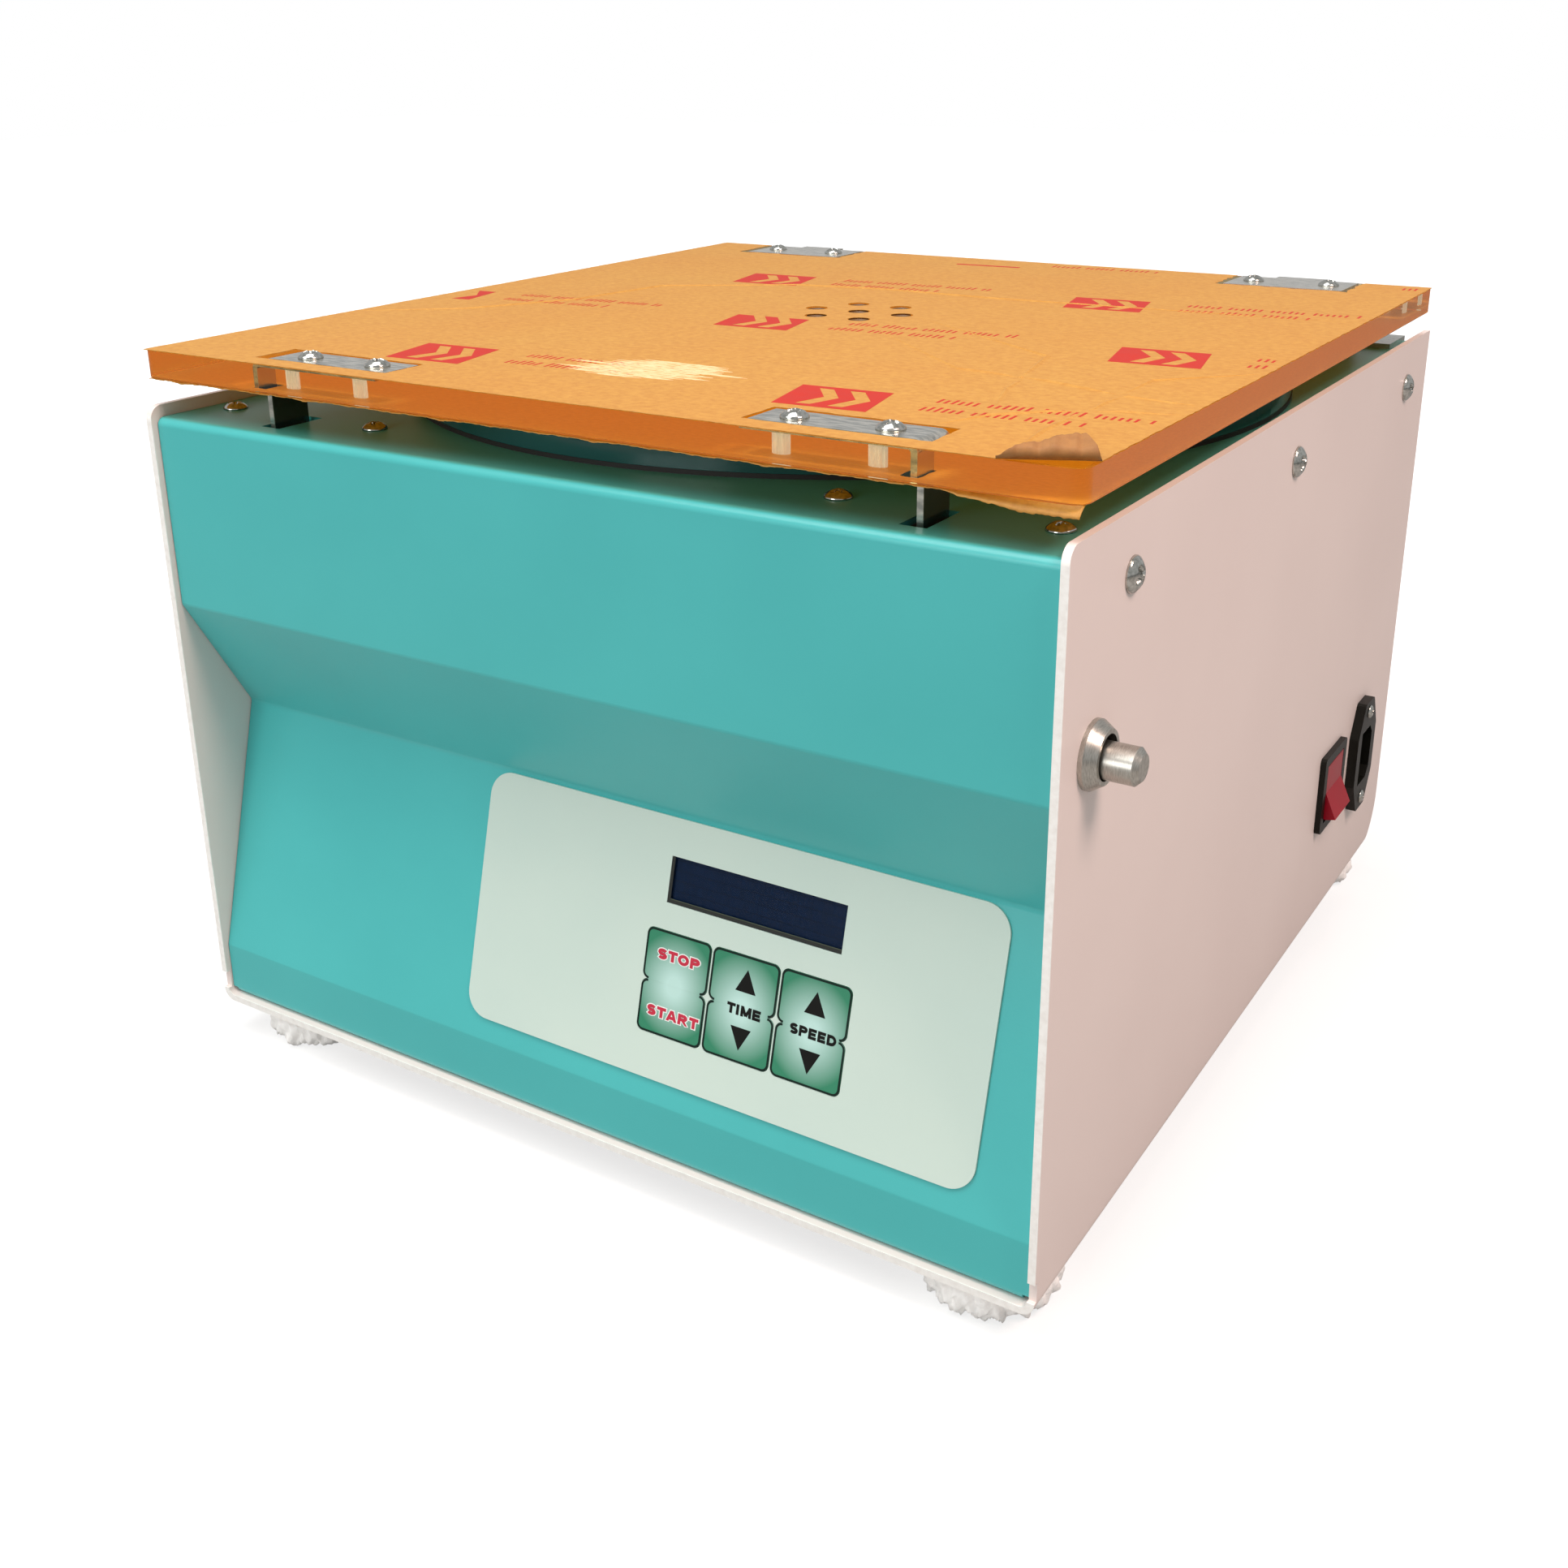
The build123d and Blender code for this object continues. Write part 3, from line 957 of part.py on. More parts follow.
# ---------------------------------------------------------------- lock
def build_lock():
    """Turned pin in its collar, the bar it pushes with a bolt for each tongue, and the bar's guides."""
    tail = -SHELL_T - COLLAR_NUT_T - COLLAR_TAIL
    collar = pin_profile([
        (COLLAR_BORE_R, tail), (COLLAR_SPIGOT_R, tail),
        (COLLAR_SPIGOT_R, 0), (COLLAR_R, 0), (COLLAR_R, COLLAR_RIM), (COLLAR_MOUTH_R, COLLAR_PROUD),
        (COLLAR_BORE_R, COLLAR_PROUD)])
    parts["lock_collar"] = Pos(HALF_W, COLLAR_Y, COLLAR_Z) * Rot(0, 90, 0) * collar
    nut = extrude(RegularPolygon(COLLAR_NUT_R, 6) - Circle(COLLAR_SPIGOT_R), COLLAR_NUT_T)
    parts["collar_nut"] = Pos(WALL_INNER_X - COLLAR_NUT_T, COLLAR_Y, COLLAR_Z) * Rot(0, 90, 0) * nut

    pin_end = HALF_W + LOCK_PIN_PROUD
    arm_x1 = LOCK_ARM_X + LOCK_ARM_T
    pin = pin_profile([
        (0, arm_x1), (LOCK_PIN_R, arm_x1), (LOCK_PIN_R, pin_end - LOCK_PIN_CHAMFER),
        (LOCK_PIN_R - LOCK_PIN_CHAMFER, pin_end), (0, pin_end)])
    parts["lock_pin"] = Pos(0, COLLAR_Y, LOCK_PIN_Z) * Rot(0, 90, 0) * pin

    finger_x = TONGUE_FAR_X + LOCK_BOLT_GAP + LOCK_BOLT_L
    left_tongue_x = -TONGUE_FAR_X + LATCH_T
    left_finger_x = left_tongue_x + LOCK_BOLT_GAP + LOCK_BOLT_L
    bar_y0 = LOCK_BOLT_Y - LOCK_BAR_T / 2
    bar_low_z = LOCK_BAR_TOP_Z - LOCK_BAR_H
    bar = slab(left_finger_x, arm_x1, bar_y0, bar_y0 + LOCK_BAR_T, bar_low_z, LOCK_BAR_TOP_Z)
    for x in (finger_x, left_finger_x):
        bar += slab(x, x + LOCK_FINGER_L, LOCK_BOLT_Y - LOCK_FINGER_W / 2, LOCK_BOLT_Y + LOCK_FINGER_W / 2,
                    bar_low_z, LOCK_BOLT_Z + LOCK_FINGER_W / 2)
        bar += along_x(LOCK_BOLT_R, x - LOCK_BOLT_L, x + PAST, LOCK_BOLT_Y, LOCK_BOLT_Z)
    bar += slab(LOCK_ARM_X, arm_x1, COLLAR_Y - LOCK_ARM_W / 2, COLLAR_Y + LOCK_ARM_W / 2,
                LOCK_PIN_Z - LOCK_ARM_BELOW_PIN, LOCK_BAR_TOP_Z)
    parts["lock_bar"] = bar

    plate_y0 = LATCH_Y - GUIDE_PLATE_W / 2
    plate_z = DECK_UNDER_Z - GUIDE_PLATE_T
    leg_x = DECK_SCREW_INNER_X - GUIDE_LEG_L / 2
    guide = slab(GUIDE_PLATE_INNER_X, GUIDE_PLATE_OUTER_X, plate_y0, DECK_SCREW_Y + SMALL_SCREW_HEAD_R,
                 plate_z, DECK_UNDER_Z)
    guide += slab(leg_x, leg_x + GUIDE_LEG_L, LOCK_BOLT_Y - GUIDE_LEG_W / 2, LOCK_BOLT_Y + GUIDE_LEG_W / 2,
                  bar_low_z - GUIDE_LEG_BELOW, DECK_UNDER_Z)
    guide -= slab(leg_x - PAST, leg_x + GUIDE_LEG_L + PAST,
                  bar_y0 - GUIDE_FIT, bar_y0 + LOCK_BAR_T + GUIDE_FIT,
                  bar_low_z - GUIDE_FIT, LOCK_BAR_TOP_Z + GUIDE_FIT)
    guide -= tongue_opening(plate_z)
    screws = []
    screw = small_screw(DECK_Z)
    hole_end = DECK_Z - SMALL_SCREW_L - SCREW_TIP_GAP
    for x in (DECK_SCREW_INNER_X, DECK_SCREW_OUTER_X):
        guide -= upright(SMALL_SCREW_R + SCREW_FIT, hole_end, DECK_Z, x, DECK_SCREW_Y)
        screws += [Pos(x, DECK_SCREW_Y, 0) * screw, Pos(-x, DECK_SCREW_Y, 0) * screw]
    parts["lock_guides"] = each([guide, mirrored(guide)])
    small_screws.extend(screws)

    switch_x1 = -TONGUE_FAR_X - SWITCH_GAP - SWITCH_PLUNGER_L
    switch = slab(switch_x1 - SWITCH_T, switch_x1, LATCH_Y - SWITCH_L / 2, LATCH_Y + SWITCH_L / 2,
                  plate_z - SWITCH_H, plate_z)
    switch += along_x(SWITCH_PLUNGER_R, switch_x1 - PAST, switch_x1 + SWITCH_PLUNGER_L,
                      LATCH_Y, plate_z - SWITCH_H / 2)
    parts["lid_switch"] = switch


# ---------------------------------------------------------------- power
def build_rocker():
    """Bezel with its well and the red rocker on its own axle, tilted to the off side."""
    wall = Plane(origin=(HALF_W, ROCKER_Y, ROCKER_Z), x_dir=(0, 1, 0), z_dir=(1, 0, 0))
    body = extrude(Rectangle(ROCKER_BODY_W, ROCKER_BODY_H), -ROCKER_BODY_DEPTH)
    body += extrude(RectangleRounded(ROCKER_FRAME_W, ROCKER_FRAME_H, ROCKER_FRAME_R), ROCKER_FRAME_PROUD)
    well = Rectangle(ROCKER_W + 2 * ROCKER_GAP, ROCKER_L + 2 * ROCKER_GAP)
    body -= extrude(well, ROCKER_FRAME_PROUD + PAST) + extrude(well, -ROCKER_WELL_DEPTH)
    axle_x = HALF_W + ROCKER_FRAME_PROUD - ROCKER_AXLE_BEHIND
    lying = Pos(axle_x, ROCKER_Y, ROCKER_Z) * Rot(90, 0, 0)
    axle = lying * Cylinder(ROCKER_AXLE_R, ROCKER_W + 2 * ROCKER_GAP)
    parts["rocker_bezel"] = wall * body + axle

    half = ROCKER_L / 2 - ROCKER_SWING_GAP
    lift = half * tan(radians(ROCKER_TILT))
    hub_back = -ROCKER_T - ROCKER_AXLE_R
    side_view = make_face(Polyline(
        (0, 0), (lift, -half), (lift - ROCKER_T, -half), (hub_back, -half / 3),
        (hub_back, half / 3), (lift - ROCKER_T, half), (lift, half), close=True))
    rocker = extrude(Plane.XZ * side_view, ROCKER_W / 2, both=True)
    rocker = Pos(axle_x + ROCKER_AXLE_BEHIND, ROCKER_Y, ROCKER_Z) * rocker
    rocker -= lying * Cylinder(ROCKER_AXLE_R + ROCKER_AXLE_RUN, ROCKER_W + PAST)
    tilt_axis = Axis((axle_x, ROCKER_Y, ROCKER_Z), (0, 1, 0))
    parts["rocker"] = rocker.rotate(tilt_axis, -ROCKER_TILT)


def build_inlet():
    """Appliance inlet: flange with two screws, body through the wall and a socket with three blades."""
    face_x = HALF_W + INLET_FLANGE_T
    plane = Plane(origin=(HALF_W, INLET_Y, INLET_Z), x_dir=(0, 1, 0), z_dir=(1, 0, 0))
    side_x, side_y = INLET_FLANGE_W / 2, INLET_SIDE_H / 2
    ear_x, ear_y = INLET_EAR_W / 2, INLET_FLANGE_H / 2
    flange = Polygon(
        (side_x, -side_y), (side_x, side_y), (ear_x, ear_y), (-ear_x, ear_y),
        (-side_x, side_y), (-side_x, -side_y), (-ear_x, -ear_y), (ear_x, -ear_y), align=None)
    inlet = plane * extrude(fillet(flange.vertices(), INLET_FLANGE_R), INLET_FLANGE_T)
    inlet += plane * extrude(Rectangle(INLET_BODY_W, INLET_BODY_H), -INLET_BODY_DEPTH)
    socket = Rectangle(INLET_SOCKET_W, INLET_SOCKET_H)
    socket = chamfer(socket.vertices().group_by(Axis.X)[-1], INLET_SOCKET_CHAMFER)
    depth = INLET_SOCKET_DEPTH + INLET_FLANGE_T
    inlet -= plane * Pos(0, 0, INLET_FLANGE_T - depth) * extrude(socket, depth + PAST)
    blade = Box(INLET_BLADE_W, INLET_BLADE_T, INLET_BLADE_L, align=(Align.CENTER, Align.CENTER, Align.MIN))
    half_stagger = INLET_BLADE_STAGGER / 2
    for row in (-1, 0, 1):
        across = half_stagger if row == 0 else -half_stagger
        inlet += plane * Pos(across, row * INLET_BLADE_PITCH / 2, INLET_FLANGE_T - depth) * blade
    screws = []
    screw = domed_screw(INLET_SCREW_HEAD_R, INLET_SCREW_HEAD_H, INLET_SCREW_R, INLET_SCREW_L)
    for side in (-1, 1):
        z = INLET_Z + side * INLET_SCREW_PITCH / 2
        inlet -= along_x(INLET_SCREW_R + SCREW_FIT, HALF_W - PAST, face_x + PAST, INLET_Y, z)
        screws.append(Pos(face_x, INLET_Y, z) * Rot(0, 90, 0) * screw)
    parts["power_inlet"] = inlet
    parts["inlet_screws"] = each(screws)


def build_power_board():
    """Supply board on four posts, with its transformer and two capacitors."""
    z = FLOOR_TOP_Z + POWER_POST_H
    x0 = POWER_BOARD_X - POWER_BOARD_L / 2
    y0 = POWER_BOARD_Y - POWER_BOARD_W / 2
    board = slab(x0, x0 + POWER_BOARD_L, y0, y0 + POWER_BOARD_W, z, z + BOARD_T)
    inset = 2 * POWER_POST_INSET
    posts = [Pos(POWER_BOARD_X, POWER_BOARD_Y, 0) * p * upright(POWER_POST_R, FLOOR_TOP_Z, z)
             for p in GridLocations(POWER_BOARD_L - inset, POWER_BOARD_W - inset, 2, 2).locations]
    top = z + BOARD_T
    left = x0 + POWER_POST_INSET
    board += slab(left, left + TRANSFORMER_L,
                  POWER_BOARD_Y - TRANSFORMER_W / 2, POWER_BOARD_Y + TRANSFORMER_W / 2,
                  top, top + TRANSFORMER_H)
    for i in range(CAPACITOR_COUNT):
        x = left + TRANSFORMER_L + CAPACITOR_GAP + CAPACITOR_R + i * (2 * CAPACITOR_R + CAPACITOR_GAP)
        board += upright(CAPACITOR_R, top, top + CAPACITOR_H, x, POWER_BOARD_Y)
    parts["power_board"] = board + posts


def build_side_screws():
    """Three button-head screws in each wall."""
    screw = domed_screw(SIDE_SCREW_HEAD_R, SIDE_SCREW_HEAD_H, SIDE_SCREW_R, SIDE_SCREW_L)
    right = [Pos(HALF_W, y, z) * Rot(0, 90, 0) * screw for y, z in side_screw_places()]
    parts["side_screws"] = each(right + [mirrored(s) for s in right])


build_feet()
build_shell()
build_chassis()
build_rear_panel()
build_control_panel()
build_bowl()
build_motor()
build_rotor()
build_lid()
build_hinges()
build_lock()
build_rocker()
build_inlet()
build_power_board()
build_side_screws()
parts["small_screws"] = each(small_screws)

os.makedirs("parts", exist_ok=True)
for name, shape in parts.items():
    export_step(shape, f"parts/{name}.step")
print(len(parts), "nodes")
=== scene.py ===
# %% [markdown]
# # A bench centrifuge for butterfat test bottles
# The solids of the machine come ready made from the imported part: folded steel case, spun bowl, rotor, lid,
# lock, keypad and switches, each as one node that rides on its own body. This notebook adds what solids
# leave out: the finish of each surface, torn masking paper, the screws' recesses and threads, printed
# signs and crumpled packing film. Everything is in metres and in the same frame as the solids,
# +Z up with the front facing -Y, so each new piece goes where the solids say.

# %% Load the frame
import bmesh
import bpy
import numpy as np
from mathutils import Matrix, Vector
from mathutils.geometry import delaunay_2d_cdt


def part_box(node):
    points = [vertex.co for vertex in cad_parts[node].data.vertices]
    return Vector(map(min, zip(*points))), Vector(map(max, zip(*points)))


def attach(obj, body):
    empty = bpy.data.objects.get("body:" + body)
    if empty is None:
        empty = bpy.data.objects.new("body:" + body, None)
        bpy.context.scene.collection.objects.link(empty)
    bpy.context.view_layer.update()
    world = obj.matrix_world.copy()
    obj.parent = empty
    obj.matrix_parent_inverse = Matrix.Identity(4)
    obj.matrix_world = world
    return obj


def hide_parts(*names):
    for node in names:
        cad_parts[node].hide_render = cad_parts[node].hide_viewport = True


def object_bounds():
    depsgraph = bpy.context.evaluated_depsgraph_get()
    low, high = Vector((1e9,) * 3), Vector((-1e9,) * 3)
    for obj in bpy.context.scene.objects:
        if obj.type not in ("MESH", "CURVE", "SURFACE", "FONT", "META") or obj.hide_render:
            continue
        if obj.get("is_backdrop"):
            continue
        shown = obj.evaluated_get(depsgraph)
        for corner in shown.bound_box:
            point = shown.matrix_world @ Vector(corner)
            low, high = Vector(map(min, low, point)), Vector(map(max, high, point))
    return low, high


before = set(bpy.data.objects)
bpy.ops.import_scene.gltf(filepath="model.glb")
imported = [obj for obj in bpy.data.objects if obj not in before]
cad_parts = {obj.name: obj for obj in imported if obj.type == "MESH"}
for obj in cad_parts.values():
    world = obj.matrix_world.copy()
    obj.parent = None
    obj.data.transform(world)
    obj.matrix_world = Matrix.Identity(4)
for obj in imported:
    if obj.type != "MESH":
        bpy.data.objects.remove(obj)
cad_low, cad_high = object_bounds()
MM = 0.001

# %% [markdown]
# ## Where things are
# A node's box gives the places that the new pieces need, such as the top of the lid. Only what a box
# can't tell is written as a number, in millimetres: the slope of the control face and the rows of screws.

# %% Places read from the solids
lid_low, lid_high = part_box("lid_sheet")
case_low, case_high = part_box("base_shell")
leaf_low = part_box("hinge_leaf_right")[0]
latch_low, latch_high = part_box("latch_bracket_right")
deck_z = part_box("bowl_gasket")[0].z
print("lid top at", round(lid_high.z / MM, 1), "mm, deck at", round(deck_z / MM, 1), "mm")

# %% The control face
FOLD = np.array([0.0, -161.8, 132.6]) * MM
FACE_DOWN = np.array([0.0, -0.2621, -0.9650])
FACE_OUT = np.array([0.0, -0.9650, 0.2621])
KEY_TOP = 0.95 * MM


def on_face(across, down, out):
    """Points of the control face: the upper fold, plus X times across, plus the slope times down, plus the
    outward normal times out."""
    across, down, out = np.broadcast_arrays(across, down, out)
    along = across[..., None] * np.array([1.0, 0.0, 0.0])
    return FOLD + along + down[..., None] * FACE_DOWN + out[..., None] * FACE_OUT


print("the control face leans back", round(float(np.degrees(np.arcsin(FACE_OUT[2]))), 1), "degrees")

# %% [markdown]
# ## Camera and light
# The camera is a pinhole with a fitted place, direction and lens. Its shift only moves the frame, as the
# front of a view camera does. The light is plain: an even pale sky, a wide soft box overhead, two in
# front and a small one high on the right, so that each colour renders about as it is written.

# %% Camera
CAMERA_PLACE = Vector((336.0, -576.7, 373.2)) * MM
CAMERA_LOOK = Vector((-0.50122, 0.79500, -0.34170)).normalized()
CAMERA_RIGHT = Vector((0.84760, 0.53056, -0.00890)).normalized()
camera_up = CAMERA_RIGHT.cross(CAMERA_LOOK)
camera_data = bpy.data.cameras.new("camera")
camera_data.lens = 39.58
camera_data.sensor_width = 36.0
camera_data.shift_x = -0.00435
camera_data.shift_y = -0.0800
camera = bpy.data.objects.new("camera", camera_data)
axes = Matrix((CAMERA_RIGHT, camera_up, -CAMERA_LOOK)).transposed()
camera.matrix_world = Matrix.Translation(CAMERA_PLACE) @ axes.to_4x4()
bpy.context.scene.collection.objects.link(camera)
bpy.context.scene.camera = camera
bpy.context.scene.view_settings.view_transform = "Standard"
print("lens", camera_data.lens, "mm")

# %% Helpers for colours and nodes


def linear(code):
    """sRGB hex to linear light: a channel c becomes c / 12.92, or ((c + 0.055) / 1.055) ^ 2.4 above 0.04."""
    c = np.array([int(code[i:i + 2], 16) for i in (1, 3, 5)]) / 255
    return (*np.where(c <= 0.04045, c / 12.92, ((c + 0.055) / 1.055) ** 2.4).tolist(), 1.0)


def feed(node, sockets):
    """Gives each named input of a node a value or a link."""
    for key, value in sockets.items():
        if isinstance(value, bpy.types.NodeSocket):
            node.id_data.links.new(value, node.inputs[key])
        else:
            node.inputs[key].default_value = value


def add(tree, kind, settings=None, sockets=None):
    """Adds one node, sets its own settings and feeds its inputs. The setting stops is the list of places and
    colours along a colour ramp."""
    node = tree.nodes.new(kind)
    for key, value in (settings or {}).items():
        if key == "stops":
            elements = node.color_ramp.elements
            for number, (position, colour) in enumerate(value):
                stop = elements[number] if number < 2 else elements.new(position)
                stop.position, stop.color = position, colour
        else:
            setattr(node, key, value)
    feed(node, sockets or {})
    return node


def start_material(name):
    """A new material with its shader and the object coordinates that every pattern here reads."""
    material = bpy.data.materials.new(name)
    material.use_nodes = True
    tree = material.node_tree
    return material, tree, tree.nodes["Principled BSDF"], add(tree, "ShaderNodeTexCoord").outputs["Object"]


print("teal in linear light", [round(v, 3) for v in linear("#4DB8B6")[:3]])

# %% Sky, lamps and floor


def soft_box(name, place, aim, size, watts, colour):
    """A square area lamp that faces the point aim."""
    data = bpy.data.lights.new(name, "AREA")
    data.size = size
    data.energy = watts
    data.color = linear(colour)[:3]
    lamp = bpy.data.objects.new(name, data)
    lamp.location = place
    lamp.rotation_euler = (Vector(aim) - Vector(place)).to_track_quat("-Z", "Y").to_euler()
    bpy.context.scene.collection.objects.link(lamp)


soft_box("soft_box_above", (-0.2, -0.2, 2.2), (0, 0, 0.15), 1.1, 22, "#FFFFFF")
soft_box("soft_box_front_high", (-0.5, -1.0, 1.7), (0, 0, 0.15), 1.0, 14, "#FFFFFF")
soft_box("soft_box_front_low", (-0.4, -2.4, 0.75), (0, 0, 0.12), 1.0, 13, "#FFFFFF")
soft_box("soft_box_right", (1.0, -0.25, 1.4), (0.1, 0, 0.12), 0.5, 16, "#FFE0D6")

world = bpy.data.worlds.new("pale_room")
world.use_nodes = True
bpy.context.scene.world = world
sky = world.node_tree
ray = add(sky, "ShaderNodeLightPath")
straight = add(sky, "ShaderNodeMath", {"operation": "LESS_THAN"}, {0: ray.outputs["Diffuse Depth"], 1: 0.5})
through = add(sky, "ShaderNodeMath", {"operation": "MULTIPLY"}, {
    0: ray.outputs["Is Transmission Ray"], 1: straight.outputs[0]})
seen = add(sky, "ShaderNodeMath", {"operation": "MAXIMUM"}, {
    0: ray.outputs["Is Camera Ray"], 1: through.outputs[0]})
mirrored = add(sky, "ShaderNodeMapRange", None, {
    "Value": ray.outputs["Is Glossy Ray"], "To Min": 0.41, "To Max": 0.55})
room = add(sky, "ShaderNodeBackground", None, {
    "Color": linear("#F6F7F8"), "Strength": mirrored.outputs["Result"]})
backdrop = add(sky, "ShaderNodeBackground", None, {"Color": (1, 1, 1, 1), "Strength": 1.0})
mixed = add(sky, "ShaderNodeMixShader", None, {
    0: seen.outputs[0], 1: room.outputs[0], 2: backdrop.outputs[0]})
feed(sky.nodes["World Output"], {"Surface": mixed.outputs[0]})

floor_mesh = bpy.data.meshes.new("floor")
FLOOR_REACH = 6.0
corners = np.array([(-1, -1, 0), (1, -1, 0), (1, 1, 0), (-1, 1, 0)]) * FLOOR_REACH
floor_mesh.from_pydata(corners.tolist(), [], [(0, 1, 2, 3)])
floor = bpy.data.objects.new("floor", floor_mesh)
bpy.context.scene.collection.objects.link(floor)
floor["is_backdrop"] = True
paper_floor, tree, shader, place = start_material("white_paper_floor")
floor_ray = add(tree, "ShaderNodeLightPath")
away = add(tree, "ShaderNodeVectorMath", {"operation": "LENGTH"}, {0: place})
fade = add(tree, "ShaderNodeMapRange", None, {
    "Value": away.outputs["Value"], "From Min": 0.3, "From Max": 0.9, "To Min": 0.70, "To Max": 1.0})
lift = add(tree, "ShaderNodeMath", {"operation": "MULTIPLY"}, {
    0: floor_ray.outputs["Is Camera Ray"], 1: fade.outputs["Result"]})
feed(shader, {"Base Color": linear("#A2A2A0"), "Roughness": 0.9, "Specular IOR Level": 0.1,
              "Emission Color": (1, 1, 1, 1), "Emission Strength": lift.outputs[0]})
floor_mesh.materials.append(paper_floor)
print("floor", 2 * FLOOR_REACH, "m across")

# %% [markdown]
# ## Powder coat on folded steel
# Powder is sprayed dry on the folded sheet and baked, so it flows into a skin with a fine orange peel and
# a soft gloss. The peel's bumps are about 0.8 mm across: a noise texture of that size drives a bump node.
# A second, much larger noise shifts the colour a little, as handling and uneven film do. The deck under the
# lid is painted darker and brownish, a painted shade with a painted reflection of the paper above it, found
# by a mask on its height.

# %% Recipe for coated and moulded skins


def skin(name, light, dark, cloud_mm, grain_mm, grain_depth, roughness, spread=0.06, **more):
    """A finish with a large cloud between two close colours, a fine bump and slightly uneven gloss; more
    holds further inputs of the shader, with _ for each space of their names."""
    material, tree, shader, place = start_material(name)
    cloud = add(tree, "ShaderNodeTexNoise", None, {"Vector": place, "Scale": 1000 / cloud_mm, "Detail": 4.0})
    tint = add(tree, "ShaderNodeMix", {"data_type": "RGBA"}, {
        "Factor": cloud.outputs["Fac"], "A": linear(dark), "B": linear(light)})
    grain = add(tree, "ShaderNodeTexNoise", None, {"Vector": place, "Scale": 1000 / grain_mm, "Detail": 3.0})
    bump = add(tree, "ShaderNodeBump", None, {
        "Height": grain.outputs["Fac"], "Strength": 0.6, "Distance": grain_depth * MM})
    gloss = add(tree, "ShaderNodeMapRange", None, {
        "Value": cloud.outputs["Fac"], "To Min": roughness - spread, "To Max": roughness + spread})
    feed(shader, {"Base Color": tint.outputs["Result"], "Roughness": gloss.outputs["Result"],
                  "Normal": bump.outputs["Normal"]})
    feed(shader, {key.replace("_", " "): value for key, value in more.items()})
    return material


def reopen(material):
    """A finished material's nodes and shader, the place that its patterns read, that place's X, Y and Z, and
    the colour that feeds its shader."""
    tree = material.node_tree
    shader = tree.nodes["Principled BSDF"]
    place = tree.nodes["Texture Coordinate"].outputs["Object"]
    xyz = add(tree, "ShaderNodeSeparateXYZ", None, {"Vector": place}).outputs
    return tree, shader, place, xyz, shader.inputs["Base Color"].links[0].from_socket


def dress(material, *names):
    """Gives CAD nodes their material."""
    for name in names:
        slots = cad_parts[name].data.materials
        slots.clear()
        slots.append(material)


PEEL = 0.8
teal_coat = skin("powder_coat_teal", "#4DBEBC", "#45B3B2", 60, PEEL, 0.035, 0.32, 0.03)
tree, shader, place, xyz, coat = reopen(teal_coat)
on_deck = add(tree, "ShaderNodeMapRange", None, {
    "Value": xyz["Z"], "From Min": deck_z - 0.5 * MM, "From Max": deck_z - 0.05 * MM})
# Painted shade: below the lid the deck's coat is multiplied by a warm pink, for the lid's shadow and the
# brown paper it mirrors.
deck_painted_shade = add(tree, "ShaderNodeMix", {"data_type": "RGBA", "blend_type": "MULTIPLY"}, {
    "Factor": on_deck.outputs["Result"], "A": coat, "B": linear("#FFDCCD")})
feed(shader, {"Base Color": deck_painted_shade.outputs["Result"]})
dress(teal_coat, "chassis")
print("peel of", PEEL, "mm gives a noise scale of", 1000 / PEEL)

# %% [markdown]
# ## White coat with rubbed cut edges
# The side sheets are the same steel in white. Their sheared edges are raw and thinly covered, so they look
# chalky and chipped. The shear lies in the plane of the front, and a mask on the Y coordinate finds it.

# %% White coat
white_coat = skin("powder_coat_white", "#F2E6E0", "#E9DBD5", 90, 1.0, 0.025, 0.42)
tree, shader, place, xyz, coat = reopen(white_coat)
shear = add(tree, "ShaderNodeMapRange", None, {
    "Value": xyz["Y"], "From Min": case_low.y + 0.5 * MM, "From Max": case_low.y + 0.1 * MM})
chips = add(tree, "ShaderNodeTexNoise", None, {"Vector": place, "Scale": 1000 / 2.5, "Detail": 6.0})
chip_colour = add(tree, "ShaderNodeValToRGB", {
    "stops": [(0.30, linear("#F3EFE9")), (0.62, linear("#FDFBF6"))]}, {"Fac": chips.outputs["Fac"]})
edge = add(tree, "ShaderNodeMix", {"data_type": "RGBA"}, {
    "Factor": shear.outputs["Result"], "A": coat, "B": chip_colour.outputs["Color"]})
feed(shader, {"Base Color": edge.outputs["Result"]})
dress(white_coat, "base_shell", "rear_panel")
print("sheared edge at y =", round(case_low.y / MM, 1), "mm")

# %% [markdown]
# ## Metals
# Turned stainless has fine rings round its axis, rolled and plated sheet has a faint grain along the
# rolling direction, and a spun bowl is enamelled. For metals the base colour is what is reflected,
# so it stays pale, and the roughness decides how much of the room it mirrors. The same marks that roughen a
# metal also dull it a little.

# %% Recipe for metals


